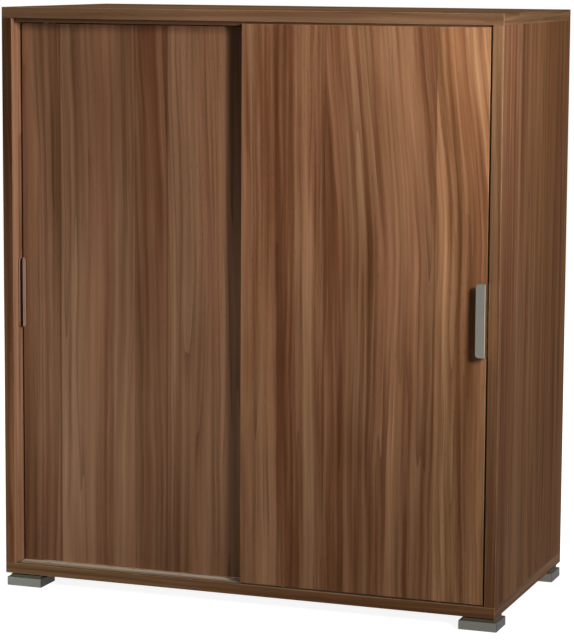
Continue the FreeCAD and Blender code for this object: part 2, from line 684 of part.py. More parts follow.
# A cam lock is a disc with its face at its origin, a passage for the bolt from one side of the rim to
# past the middle, and a driver slot across the face.
cam_lock = new_body("cam_lock_form")
cam_disc = new_sketch(cam_lock, "XY_Plane", "0")
circles(cam_disc, [("0", "0")], "sizes.cam_radius")
pad(cam_lock, cam_disc, "sizes.cam_height")
PASSAGE = "2 * fits.bolt_hole_radius"
passage = new_sketch(cam_lock, "YZ_Plane", "-sizes.cam_radius")
rectangle(passage, "-fits.bolt_hole_radius", "%s / 2 - fits.bolt_hole_radius" % BOARD, PASSAGE, PASSAGE)
pocket(cam_lock, passage, "sizes.cam_radius + sizes.bolt_head_length / 2 + sizes.fit_clearance", True)
cut_rectangle(cam_lock, "XY_Plane", "0", ("-sizes.cam_radius", "-sizes.cam_slot / 2"),
              ("2 * sizes.cam_radius", "sizes.cam_slot"), "sizes.cam_slot", True)
cam_places = []
for face_x, inward in ((BOARD, -1), ("%s - %s" % (WIDTH, BOARD), 1)):
    for cam_y in CAM_DEPTHS:
        low_z = "%s + sizes.cam_distance" % BOARD
        high_z = "%s - %s - sizes.cam_distance" % (HEIGHT, BOARD)
        cam_places.append((face_x, cam_y, low_z, turned((inward, 0, 0), (0, 0, 1))))
        cam_places.append((face_x, cam_y, high_z, turned((inward, 0, 0), (0, 0, -1))))
nodes.append(copies("cam_locks", cam_lock, cam_places))

nodes.append(copies("back_panel_screws", back_screw,
                    [(DIVIDER_AXIS, "fits.back_face_y + sizes.back_thickness + sizes.screw_head_height"
                      " - sizes.back_screw_length", "%s + %s" % (BOARD, z), TO_BACK)
                     for z in BACK_SCREW_ZS]))

# ---------------------------------------------------------------------------------------------------
# Tracks: one cross-section each, drawn in the YZ plane and padded along the cabinet
# ---------------------------------------------------------------------------------------------------
CHANNEL = "2 * fits.channel_wall"
top_track = new_body("top_track")
top_section = new_sketch(top_track, "YZ_Plane", "0")
PLATE_UNDERSIDE = "sizes.flange_drop - sizes.track_plate"
WEB_START = CHANNEL
WEB_END = "fits.track_pitch"
INNER_LEFT = "sizes.flange_thickness"
INNER_RIGHT = "%s - sizes.flange_thickness" % CHANNEL
polygon(top_section, [
    ("0", "0"),
    (INNER_LEFT, "0"),
    (INNER_LEFT, PLATE_UNDERSIDE),
    (INNER_RIGHT, PLATE_UNDERSIDE),
    (INNER_RIGHT, "0"),
    (WEB_START, "0"),
    (WEB_START, PLATE_UNDERSIDE),
    (WEB_END, PLATE_UNDERSIDE),
    (WEB_END, "0"),
    ("%s + %s" % (WEB_END, INNER_LEFT), "0"),
    ("%s + %s" % (WEB_END, INNER_LEFT), PLATE_UNDERSIDE),
    ("%s + %s" % (WEB_END, INNER_RIGHT), PLATE_UNDERSIDE),
    ("%s + %s" % (WEB_END, INNER_RIGHT), "0"),
    ("fits.top_track_depth", "0"),
    ("fits.top_track_depth", "sizes.flange_drop"),
    ("0", "sizes.flange_drop"),
])
pad(top_track, top_section, "fits.track_length")
cut_holes(top_track, "XY_Plane", PLATE_UNDERSIDE, [(x, TOP_SCREW_Y) for x in TRACK_SCREW_XS],
          "fits.screw_hole_radius", "sizes.track_plate", True)
place(top_track, "fits.track_x", "fits.top_track_y", "%s - %s - sizes.flange_drop" % (HEIGHT, BOARD))
nodes.append(top_track)
nodes.append(copies("top_track_screws", screw,
                    [("fits.track_x + %s" % x, "fits.top_track_y + %s" % TOP_SCREW_Y,
                      "%s - %s - sizes.track_plate - sizes.screw_head_height + sizes.screw_length"
                      % (HEIGHT, BOARD), DOWNWARD) for x in TRACK_SCREW_XS]))

bottom_track = new_body("bottom_track")
bottom_section = new_sketch(bottom_track, "YZ_Plane", "0")
RIB_TOP = "sizes.track_base + sizes.rib_height"
rib_outline = [("0", "0"), ("fits.bottom_track_depth", "0"), ("fits.bottom_track_depth", "sizes.track_base")]
for rib_axis in ("sizes.track_margin + fits.track_pitch", "sizes.track_margin"):
    near = "%s - sizes.rib_width / 2" % rib_axis
    far = "%s + sizes.rib_width / 2" % rib_axis
    rib_outline += [(far, "sizes.track_base"), (far, RIB_TOP), (near, RIB_TOP), (near, "sizes.track_base")]
rib_outline.append(("0", "sizes.track_base"))
polygon(bottom_section, rib_outline)
pad(bottom_track, bottom_section, "fits.track_length")
rib_top_height = value(RIB_TOP)
round_edges(bottom_track, "sizes.rib_radius",
            lambda box: same(box.ZMin, rib_top_height) and same(box.ZMax, rib_top_height)
            and same(box.YMin, box.YMax))
cut_holes(bottom_track, "XY_Plane", "sizes.track_base", [(x, BOTTOM_SCREW_Y) for x in TRACK_SCREW_XS],
          "fits.screw_hole_radius", "sizes.track_base")
cut_holes(bottom_track, "XY_Plane", "sizes.track_base", [(x, BOTTOM_SCREW_Y) for x in TRACK_SCREW_XS],
          "fits.screw_seat_radius", "sizes.screw_head_height")
place(bottom_track, "fits.track_x", "fits.bottom_track_y", "%s - sizes.track_base" % BOARD)
nodes.append(bottom_track)
nodes.append(copies("bottom_track_screws", screw,
                    [("fits.track_x + %s" % x, "fits.bottom_track_y + %s" % BOTTOM_SCREW_Y,
                      "%s - sizes.screw_length" % BOARD, UPRIGHT) for x in TRACK_SCREW_XS]))

# ---------------------------------------------------------------------------------------------------
# Feet: hollow blocks with a narrower neck, two screw bosses and a pad let into the underside
# ---------------------------------------------------------------------------------------------------
def on_foot_rim(box):
    """Edges around the top of the block, outside its neck."""
    near = value("sizes.foot_neck_inset") / 2
    outside = (box.XMin < near or box.XMax > value("sizes.foot_width") - near
               or box.YMin < near or box.YMax > value("sizes.foot_depth") - near)
    rim = value("fits.foot_block_height")
    return outside and same(box.ZMin, rim) and same(box.ZMax, rim)


for corner, (foot_x, foot_y) in FEET.items():
    foot = block("foot_" + corner, "sizes.foot_width", "sizes.foot_depth", "fits.foot_block_height")
    neck = new_sketch(foot, "XY_Plane", "fits.foot_block_height")
    rectangle(neck, "sizes.foot_neck_inset", "sizes.foot_neck_inset",
              "sizes.foot_width - 2 * sizes.foot_neck_inset",
              "sizes.foot_depth - 2 * sizes.foot_neck_inset")
    pad(foot, neck, "sizes.foot_neck_height")
    round_edges(foot, "sizes.foot_edge_radius", lambda box: not same(box.ZMin, box.ZMax))
    round_edges(foot, "sizes.foot_rim_radius", on_foot_rim)
    hollow = new_sketch(foot, "XY_Plane", "sizes.foot_height")
    rectangle(hollow, "fits.foot_hollow_inset", "fits.foot_hollow_inset",
              "sizes.foot_width - 2 * fits.foot_hollow_inset",
              "sizes.foot_depth - 2 * fits.foot_hollow_inset")
    circles(hollow, FOOT_SCREWS, "sizes.foot_boss_radius")
    pocket(foot, hollow, "sizes.foot_height - sizes.foot_floor")
    cut_rectangle(foot, "XY_Plane", "0", ("sizes.foot_pad_margin", "sizes.foot_pad_margin"),
                  ("sizes.foot_width - 2 * sizes.foot_pad_margin",
                   "sizes.foot_depth - 2 * sizes.foot_pad_margin"), "sizes.foot_pad_recess", True)
    cut_holes(foot, "XY_Plane", "0", FOOT_SCREWS, "fits.foot_screw_hole_radius", "sizes.foot_height", True)
    cut_holes(foot, "XY_Plane", "0", FOOT_SCREWS, "fits.foot_screw_seat_radius",
              "fits.foot_screw_seat_z", True)
    place(foot, foot_x, foot_y, "-sizes.foot_height")
    nodes.append(foot)
    pad_margin = "sizes.foot_pad_margin + sizes.fit_clearance"
    foot_pad = block("foot_pad_" + corner, "sizes.foot_width - 2 * (%s)" % pad_margin,
                     "sizes.foot_depth - 2 * (%s)" % pad_margin, "sizes.foot_pad_thickness")
    place(foot_pad, "%s + %s" % (foot_x, pad_margin), "%s + %s" % (foot_y, pad_margin), "-fits.carcass_z")
    nodes.append(foot_pad)
nodes.append(copies("foot_screws", foot_screw,
                    [(x, y, "sizes.foot_screw_bite", DOWNWARD) for x, y in FOOT_SCREW_PLACES]))

# ---------------------------------------------------------------------------------------------------
# Doors. Every piece of a door is placed from the door's own corner: left, front and bottom.
# ---------------------------------------------------------------------------------------------------
DOORS = {
    "left": ("fits.left_door_x", "fits.inner_setback"),
    "right": ("fits.right_door_x", "sizes.outer_setback"),
}
ROLLER_XS = {"left": "sizes.roller_inset", "right": "fits.door_width - sizes.roller_inset"}
GUIDE_XS = {"left": "sizes.guide_inset", "right": "fits.door_width - sizes.guide_inset"}
MORTISE_Y = "(sizes.door_thickness - sizes.housing_width) / 2 - sizes.fit_clearance"
MORTISE_WIDTH = "sizes.housing_width + 2 * sizes.fit_clearance"
HOUSING_SCREWS = ["sizes.housing_screw_inset", "sizes.housing_flange_length - sizes.housing_screw_inset"]
PULL_SCREW_ZS = ["sizes.pull_screw_inset", "sizes.pull_length - sizes.pull_screw_inset"]
LEG_MIDDLE = "sizes.pull_leg / 2"


def place_on_door(side, thing, x, y, z, rotation=None):
    door_x, door_y = DOORS[side]
    place(thing, "%s + %s" % (door_x, x), "%s + %s" % (door_y, y), "fits.door_z + %s" % z, rotation)


def door_pieces(side, label, master, places):
    """A group of equal pieces that rides on one door."""
    door_x, door_y = DOORS[side]
    return copies(label, master, [("%s + %s" % (door_x, x), "%s + %s" % (door_y, y),
                                   "fits.door_z + %s" % z, turn) for x, y, z, turn in places])


def door_panel(side, height):
    """A door with its roller mortises below, its guide mortises above and its pull screw holes."""
    panel = block(side + "_door_panel", "fits.door_width", "sizes.door_thickness", height)
    round_edges(panel, "sizes.door_edge_radius", on_front)
    if side == "right":
        cut_rectangle(panel, "XY_Plane", height, ("0", "sizes.lip_thickness"),
                      ("fits.door_width", "sizes.door_thickness - sizes.lip_thickness"),
                      "%s - fits.inner_door_height" % height)
    for roller_x in ROLLER_XS.values():
        for length, depth in (("sizes.housing_flange_length", "sizes.housing_flange_thickness"),
                              ("sizes.housing_length", "fits.housing_height")):
            fitted = "%s + 2 * sizes.fit_clearance" % length
            cut_rectangle(panel, "XY_Plane", "0", ("%s - (%s) / 2" % (roller_x, fitted), MORTISE_Y),
                          (fitted, MORTISE_WIDTH), "%s + sizes.fit_clearance" % depth, True)
        screw_centres = [("%s - sizes.housing_flange_length / 2 + %s" % (roller_x, x),
                          "sizes.door_thickness / 2") for x in HOUSING_SCREWS]
        cut_holes(panel, "XY_Plane", "0", screw_centres, "fits.screw_hole_radius",
                  "sizes.screw_length + sizes.fit_clearance", True)
    for guide_x in GUIDE_XS.values():
        guide_corner = ("%s - sizes.guide_length / 2 - sizes.fit_clearance" % guide_x,
                        "fits.guide_offset - sizes.guide_width / 2 - sizes.fit_clearance")
        cut_rectangle(panel, "XY_Plane", "fits.inner_door_height", guide_corner,
                      ("sizes.guide_length + 2 * sizes.fit_clearance",
                       "sizes.guide_width + 2 * sizes.fit_clearance"),
                      "sizes.guide_base_height + sizes.fit_clearance")
    edge_x = "0" if side == "left" else "fits.door_width"
    cut_holes(panel, "YZ_Plane", edge_x, [(LEG_MIDDLE, "fits.pull_z + %s" % z) for z in PULL_SCREW_ZS],
              "fits.screw_hole_radius", "fits.screw_bite", side == "left")
    place_on_door(side, panel, "0", "0", "0")
    return panel


def roller_housing(label):
    """A flanged case let into the door's bottom edge, with a slot for the wheel and an axle hole."""
    body = block(label, "sizes.housing_flange_length", "sizes.housing_width",
                 "sizes.housing_flange_thickness")
    case = new_sketch(body, "XY_Plane", "0")
    rectangle(case, "(sizes.housing_flange_length - sizes.housing_length) / 2", "0",
              "sizes.housing_length", "sizes.housing_width")
    pad(body, case, "fits.housing_height")
    cut_rectangle(body, "XY_Plane", "0",
                  ("(sizes.housing_flange_length - fits.wheel_slot_length) / 2",
                   "(sizes.housing_width - fits.wheel_slot_width) / 2"),
                  ("fits.wheel_slot_length", "fits.wheel_slot_width"), "fits.wheel_slot_height", True)
    cut_holes(body, "XZ_Plane", "0", [("sizes.housing_flange_length / 2", "fits.axle_height")],
              "sizes.axle_radius", "sizes.housing_width")
    screw_centres = [(x, "sizes.housing_width / 2") for x in HOUSING_SCREWS]
    cut_holes(body, "XY_Plane", "0", screw_centres, "fits.screw_hole_radius",
              "sizes.housing_flange_thickness", True)
    cut_holes(body, "XY_Plane", "0", screw_centres, "fits.screw_seat_radius",
              "sizes.screw_head_height", True)
    return body


def wheel(label):
    """A wheel with a groove that straddles the rib, a bore for the axle and lightening holes."""
    body = turned_body(label, [
        ("fits.wheel_bore_radius", "0"),
        ("sizes.wheel_radius", "0"),
        ("sizes.wheel_radius", "sizes.wheel_rim_width"),
        ("sizes.rolling_radius", "fits.wheel_shoulder"),
        ("sizes.rolling_radius", "sizes.wheel_width - fits.wheel_shoulder"),
        ("sizes.wheel_radius", "sizes.wheel_width - sizes.wheel_rim_width"),
        ("sizes.wheel_radius", "sizes.wheel_width"),
        ("fits.wheel_bore_radius", "sizes.wheel_width"),
    ])
    hole = cut_holes(body, "XY_Plane", "0", [("sizes.wheel_hole_circle", "0")], "sizes.wheel_hole_radius",
                     "sizes.wheel_width", True)
    ring = body.newObject("PartDesign::PolarPattern", label + "_ring")
    ring.Originals = [hole]
    ring.Axis = ([item for item in body.Origin.OriginFeatures if item.Role == "Z_Axis"][0], [""])
    ring.Occurrences = WHEEL_HOLES
    body.Tip = ring
    document.recompute()
    return body


def top_guide(label):
    """A block let into the door's top edge, with a round-nosed fin that runs in the track channel."""
    body = block(label, "sizes.guide_length", "sizes.guide_width", "sizes.guide_base_height")
    fin = new_sketch(body, "XY_Plane", "sizes.guide_base_height")
    rectangle(fin, "0", "(sizes.guide_width - fits.fin_thickness) / 2", "sizes.guide_length",
              "fits.fin_thickness")
    pad(body, fin, "fits.fin_height")
    base_top = value("sizes.guide_base_height")
    fin_top = value("sizes.guide_base_height + fits.fin_height")
    round_edges(body, "sizes.guide_nose_radius",
                lambda box: same(box.ZMin, base_top) and same(box.ZMax, fin_top))
    return body


def left_pull():
    """A T-section: a leg on the door's edge runs on as a low fin, with a flange on the door's face."""
    body = new_body("left_pull")
    section = new_sketch(body, "XY_Plane", "0")
    thickness = "sizes.pull_thickness"
    face = "fits.fin_projection"
    polygon(section, [
        ("0", "0"),
        (thickness, "0"),
        (thickness, "%s - %s" % (face, thickness)),
        ("%s + sizes.pull_flange_width" % thickness, "%s - %s" % (face, thickness)),
        ("%s + sizes.pull_flange_width" % thickness, face),
        (thickness, face),
        (thickness, "%s + sizes.pull_leg" % face),
        ("0", "%s + sizes.pull_leg" % face),
    ])
    pad(body, section, "sizes.pull_length")
    flange_edge = value("%s + sizes.pull_flange_width" % thickness)
    round_edges(body, "sizes.pull_corner_radius",
                lambda box: same(box.ZMin, box.ZMax) and (
                    (same(box.YMin, 0) and same(box.YMax, 0)) or same(box.XMin, flange_edge)))
    screw_centres = [("%s + %s" % (face, LEG_MIDDLE), z) for z in PULL_SCREW_ZS]
    cut_holes(body, "YZ_Plane", "0", screw_centres, "fits.screw_hole_radius", thickness, True)
    cut_holes(body, "YZ_Plane", "0", screw_centres, "fits.screw_seat_radius", "sizes.screw_head_height",
              True)
    place_on_door("left", body, "-%s" % thickness, "-%s" % face, "fits.pull_z")
    return body


def right_pull():
    """An L-section: a leg on the door's edge stands out and turns back as a lip to hook a finger in."""
    body = new_body("right_pull")
    section = new_sketch(body, "XY_Plane", "0")
    thickness = "sizes.pull_thickness"
    outer = "sizes.pull_lip_width"
    inner = "%s - %s" % (outer, thickness)
    reach = "sizes.pull_projection + sizes.pull_leg"
    polygon(section, [("0", "0"), (outer, "0"), (outer, reach), (inner, reach), (inner, thickness),
                      ("0", thickness)])
    pad(body, section, "sizes.pull_length")
    outer_x = value(outer)
    round_edges(body, "sizes.pull_bend_radius",
                lambda box: same(box.XMin, outer_x) and same(box.XMax, outer_x) and same(box.YMax, 0))
    round_edges(body, "sizes.pull_corner_radius",
                lambda box: same(box.ZMin, box.ZMax) and same(box.XMin, 0) and same(box.XMax, 0))
    screw_centres = [("sizes.pull_projection + %s" % LEG_MIDDLE, z) for z in PULL_SCREW_ZS]
    cut_holes(body, "YZ_Plane", outer, screw_centres, "fits.screw_hole_radius", thickness)
    cut_holes(body, "YZ_Plane", outer, screw_centres, "fits.screw_seat_radius", "sizes.screw_head_height")
    place_on_door("right", body, "fits.door_width + %s - %s" % (thickness, outer),
                  "-sizes.pull_projection", "fits.pull_z")
    return body


axle = turned_body("axle_form", [("0", "0"), ("sizes.axle_radius", "0"),
                                 ("sizes.axle_radius", "sizes.housing_width"),
                                 ("0", "sizes.housing_width")])

for side, door_height in (("left", "fits.inner_door_height"), ("right", "fits.outer_door_height")):
    nodes.append(door_panel(side, door_height))
    housing_y = "(sizes.door_thickness - sizes.housing_width) / 2"
    housing_screw_places = []
    for end, roller_x in ROLLER_XS.items():
        housing = roller_housing("%s_door_roller_housing_%s" % (side, end))
        housing_x = "%s - sizes.housing_flange_length / 2" % roller_x
        place_on_door(side, housing, housing_x, housing_y, "0")
        nodes.append(housing)
        nodes.append(door_pieces(side, "%s_door_axle_%s" % (side, end), axle,
                                 [(roller_x, housing_y, "fits.axle_height", TO_BACK)]))
        roller = wheel("%s_door_wheel_%s" % (side, end))
        place_on_door(side, roller, roller_x, "(sizes.door_thickness - sizes.wheel_width) / 2",
                      "fits.axle_height", TO_BACK)
        nodes.append(roller)
        housing_screw_places += [("%s + %s" % (housing_x, x), "sizes.door_thickness / 2",
                                  "sizes.screw_length", DOWNWARD) for x in HOUSING_SCREWS]
    nodes.append(door_pieces(side, side + "_door_housing_screws", screw, housing_screw_places))
    for end, guide_x in GUIDE_XS.items():
        guide = top_guide("%s_door_guide_%s" % (side, end))
        place_on_door(side, guide, "%s - sizes.guide_length / 2" % guide_x,
                      "fits.guide_offset - sizes.guide_width / 2",
                      "fits.inner_door_height - sizes.guide_base_height")
        nodes.append(guide)

nodes.append(left_pull())
nodes.append(right_pull())
PULL_SCREWS = {
    "left": ("sizes.screw_length - sizes.pull_thickness", TO_LEFT),
    "right": ("fits.door_width + sizes.pull_thickness - sizes.screw_length", TO_RIGHT),
}
for side, (tip_x, turn) in PULL_SCREWS.items():
    nodes.append(door_pieces(side, side + "_pull_screws", screw,
                             [(tip_x, LEG_MIDDLE, "fits.pull_z + %s" % z, turn) for z in PULL_SCREW_ZS]))

# ---------------------------------------------------------------------------------------------------
# Check every object, then write one file for each sub-part
# ---------------------------------------------------------------------------------------------------
document.recompute()
for thing in document.Objects:
    if "Invalid" in thing.State or "Error" in thing.State:
        raise RuntimeError("failed object: %s %s" % (thing.Name, thing.State))
for node in nodes:
    if node.Shape.isNull() or not node.Shape.isValid():
        raise RuntimeError("bad shape: " + node.Label)

os.makedirs("parts", exist_ok=True)
for node in nodes:
    node.Shape.exportStep("parts/%s.step" % node.Label)
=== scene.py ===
import math

import bmesh
import bpy
from mathutils import Matrix, Vector


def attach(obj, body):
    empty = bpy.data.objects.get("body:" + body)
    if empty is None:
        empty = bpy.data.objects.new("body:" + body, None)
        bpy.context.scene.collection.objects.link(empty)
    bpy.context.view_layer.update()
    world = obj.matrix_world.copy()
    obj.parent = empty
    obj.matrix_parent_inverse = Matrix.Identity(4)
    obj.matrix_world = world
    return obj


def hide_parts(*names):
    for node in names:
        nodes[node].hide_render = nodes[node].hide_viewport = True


# Sliding door cabinet: finishes, small fittings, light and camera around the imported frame.
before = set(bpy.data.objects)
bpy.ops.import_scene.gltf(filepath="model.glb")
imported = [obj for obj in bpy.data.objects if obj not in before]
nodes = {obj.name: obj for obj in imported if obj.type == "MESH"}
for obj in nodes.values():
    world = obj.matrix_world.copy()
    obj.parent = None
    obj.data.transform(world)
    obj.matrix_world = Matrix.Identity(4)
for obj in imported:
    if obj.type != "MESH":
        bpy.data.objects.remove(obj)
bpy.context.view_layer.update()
scene = bpy.context.scene

# ---------------------------------------------------------------------------------------------------
# Shader building
# ---------------------------------------------------------------------------------------------------
WHITE = (1.0, 1.0, 1.0, 1.0)


def tone(red, green, blue):
    """A colour given in 0-255 screen values, as a linear shader colour."""
    def linear(level):
        share = level / 255.0
        return share / 12.92 if share <= 0.04045 else ((share + 0.055) / 1.055) ** 2.4
    return (linear(red), linear(green), linear(blue), 1.0)


class Sheet:
    """A node tree with short calls for the nodes that the finishes use."""

    def __init__(self, tree):
        self.tree = tree

    def add(self, kind, **settings):
        made = self.tree.nodes.new(kind)
        for name, setting in settings.items():
            setattr(made, name, setting)
        return made

    def feed(self, socket, source):
        """Link a socket, or set it where the source is a plain value."""
        if isinstance(source, bpy.types.NodeSocket):
            self.tree.links.new(source, socket)
        else:
            socket.default_value = source

    def math(self, operation, first, second=0.0, third=0.0, clamp=False):
        made = self.add("ShaderNodeMath", operation=operation, use_clamp=clamp)
        for socket, source in zip(made.inputs, (first, second, third)):
            self.feed(socket, source)
        return made.outputs[0]

    def vector(self, operation, first, second=None, scale=None):
        made = self.add("ShaderNodeVectorMath", operation=operation)
        self.feed(made.inputs[0], first)
        if second is not None:
            self.feed(made.inputs[1], second)
        if scale is not None:
            self.feed(made.inputs["Scale"], scale)
        return made.outputs[0]

    def join(self, x, y, z):
        made = self.add("ShaderNodeCombineXYZ")
        for socket, source in zip(made.inputs, (x, y, z)):
            self.feed(socket, source)
        return made.outputs[0]

    def split(self, vector):
        made = self.add("ShaderNodeSeparateXYZ")
        self.feed(made.inputs[0], vector)
        return made.outputs

    def noise(self, vector, scale, detail=2.0, roughness=0.5):
        made = self.add("ShaderNodeTexNoise", noise_dimensions="3D")
        self.feed(made.inputs["Vector"], vector)
        for name, value in (("Scale", scale), ("Detail", detail), ("Roughness", roughness)):
            made.inputs[name].default_value = value
        return made.outputs["Fac"]

    def blend(self, share, first, second, mode="MIX"):
        made = self.add("ShaderNodeMix", data_type="RGBA", blend_type=mode, clamp_factor=True)
        self.feed(made.inputs[0], share)
        self.feed(made.inputs[6], first)
        self.feed(made.inputs[7], second)
        return made.outputs[2]

    def blend_vector(self, share, first, second):
        made = self.add("ShaderNodeMix", data_type="VECTOR")
        self.feed(made.inputs[0], share)
        self.feed(made.inputs[4], first)
        self.feed(made.inputs[5], second)
        return made.outputs[1]

    def remap(self, source, low, high, to_low=0.0, to_high=1.0):
        """A smooth step from one value to another while the source goes from low to high."""
        made = self.add("ShaderNodeMapRange", interpolation_type="SMOOTHSTEP")
        for name, value in (("From Min", low), ("From Max", high), ("To Min", to_low), ("To Max", to_high)):
            made.inputs[name].default_value = value
        self.feed(made.inputs["Value"], source)
        return made.outputs["Result"]

    def ramp(self, source, stops):
        made = self.add("ShaderNodeValToRGB")
        made.color_ramp.interpolation = "LINEAR"
        elements = made.color_ramp.elements
        while len(elements) > 1:
            elements.remove(elements[0])
        elements[0].position, elements[0].color = stops[0]
        for position, colour in stops[1:]:
            elements.new(position).color = colour
        self.feed(made.inputs[0], source)
        return made.outputs[0]

    def bump(self, height, strength, distance):
        made = self.add("ShaderNodeBump")
        made.inputs["Strength"].default_value = strength
        made.inputs["Distance"].default_value = distance
        self.feed(made.inputs["Height"], height)
        return made.outputs[0]

    def mix_shader(self, share, first, second):
        """The node that mixes two shader nodes."""
        made = self.add("ShaderNodeMixShader")
        self.feed(made.inputs[0], share)
        self.feed(made.inputs[1], first.outputs[0])
        self.feed(made.inputs[2], second.outputs[0])
        return made

    def vary(self, source, weight, onto):
        """A value that a noise moves up and down by a weight."""
        return self.math("MULTIPLY_ADD", self.math("SUBTRACT", source, 0.5), weight, onto)


def new_finish(name, roughness, metallic=0.0, specular=0.5):
    """An empty material with one Principled shader. Returns the material, its sheet and the shader."""
    material = bpy.data.materials.new(name)
    material.use_nodes = True
    tree = material.node_tree
    tree.nodes.clear()
    sheet = Sheet(tree)
    surface = sheet.add("ShaderNodeBsdfPrincipled")
    surface.inputs["Roughness"].default_value = roughness
    surface.inputs["Metallic"].default_value = metallic
    surface.inputs["Specular IOR Level"].default_value = specular
    output = sheet.add("ShaderNodeOutputMaterial")
    tree.links.new(surface.outputs[0], output.inputs[0])
    return material, sheet, surface


# ---------------------------------------------------------------------------------------------------
# Walnut veneer. Along the grain is Z of the veneer's own coordinates, in metres.
# ---------------------------------------------------------------------------------------------------
WALNUT_RAMP = ((0.18, tone(73, 44, 25)), (0.36, tone(103, 66, 44)), (0.54, tone(128, 91, 65)),
               (0.84, tone(160, 119, 89)))
WALNUT_LINE = tone(64, 35, 18)
PORE_BROWN = tone(37, 22, 12)
OLIVE_TINT = tone(216, 216, 200)
RED_TINT = tone(255, 216, 200)
LEAF_SHIFT = (3.7, 5.1, 7.9)
# waves that bend the grain: scale across it and along it, detail, and how far they push it, in metres
GRAIN_WAVES = ((3.4, 1.2, 1.5, 0.035), (22.0, 7.0, 2.0, 0.006))
WAVE_ROUGHNESS = 0.45
LEAN_START, LEAN_FULL = 0.60, 1.14
# streaks of the figure: scale across the grain and along it, detail and roughness
STREAKS = {"flame": (6.0, 0.25, 1.0, 0.5), "mottle": (14.0, 4.5, 2.0, 0.5),
           "field": (24.0, 0.6, 1.5, 0.45), "bands": (26.0, 0.8, 2.0, 0.5),
           "warmth": (30.0, 1.2, 1.0, 0.5), "reach": (34.0, 3.0, 2.0, 0.5),
           "lines": (115.0, 1.8, 1.2, 0.5), "glint": (240.0, 4.5, 1.0, 0.5),
           "fibres": (480.0, 9.0, 1.0, 0.5), "pores": (1500.0, 70.0, 0.0, 0.5)}
COARSE_WEIGHTS = (("flame", 0.60), ("bands", 0.54))
FINE_WEIGHTS = (("lines", 0.66), ("mottle", 0.20), ("fibres", 0.10))
GLINT_RANGE, GLINT_WEIGHT = (0.56, 0.72), 0.06
WARM_RANGE, WARMTH = (0.38, 0.62), 0.22
GROWTH_LINES, GROWTH_EDGE, GROWTH_DARKNESS = 12.0, 3.0, 0.60
GROWTH_REACH = (0.40, 0.62)
PORE_RANGE, PORE_DARKNESS = (0.66, 0.74), 0.34
PORES_IN_BANDS = (0.35, 0.6, 1.0, 0.35)
KNOT_SPACING = (9.0, 3.0)
KNOT_RARITY, KNOT_CORE, KNOT_RIM, KNOT_DARKNESS = 0.80, 0.008, 0.030, 0.8
FIBRE_RELIEF, PORE_RELIEF, GROWTH_RELIEF = 0.35, -0.9, -0.3
VENEER_ROUGHNESS, PALE_GLOSS = 0.60, -0.16


def bent_grain(sheet, given):
    """Place in the log that a place on a leaf is cut from, where the grain bends, waves and leans."""
    shift = sheet.vector("SCALE", LEAF_SHIFT, scale=given["Leaf"])
    x, y, z = sheet.split(sheet.vector("ADD", given["Place"], shift))
    bend = 0.0
    for wide, long, detail, push in GRAIN_WAVES:
        place = sheet.join(sheet.math("MULTIPLY", x, wide), y, sheet.math("MULTIPLY", z, long))
        bend = sheet.vary(sheet.noise(place, 1.0, detail, WAVE_ROUGHNESS), push, bend)
    # a lean comes in over the upper half of a standing leaf
    height = sheet.remap(sheet.split(given["Place"])[2], LEAN_START, LEAN_FULL)
    return sheet.math("ADD", x, sheet.math("MULTIPLY_ADD", given["Lean"], height, bend)), y, z


def growth_lines(sheet, streak):
    """Lines with a crisp dark edge that fade to one side, and come and go along the grain."""
    turn = sheet.math("FRACT", sheet.math("MULTIPLY", streak["field"], GROWTH_LINES))
    line = sheet.math("POWER", sheet.math("SUBTRACT", 1.0, turn), GROWTH_EDGE)
    return sheet.math("MULTIPLY", line, sheet.remap(streak["reach"], *GROWTH_REACH))


def open_pores(sheet, streak):
    """Pores, short and thin, fewer in the dark bands."""
    return sheet.math("MULTIPLY", sheet.remap(streak["pores"], *PORE_RANGE),
                      sheet.remap(streak["bands"], *PORES_IN_BANDS))


def pin_knots(sheet, across, y, z):
    """A pin knot here and there."""
    cells = sheet.add("ShaderNodeTexVoronoi", voronoi_dimensions="3D")
    cells.inputs["Scale"].default_value = 1.0
    sheet.feed(cells.inputs["Vector"], sheet.join(sheet.math("MULTIPLY", across, KNOT_SPACING[0]), y,
                                                  sheet.math("MULTIPLY", z, KNOT_SPACING[1])))
    rare = sheet.math("GREATER_THAN", sheet.split(cells.outputs["Color"])[0], KNOT_RARITY)
    knot = sheet.remap(cells.outputs["Distance"], KNOT_CORE, KNOT_RIM, KNOT_DARKNESS, 0.0)
    return sheet.math("MULTIPLY", knot, rare)


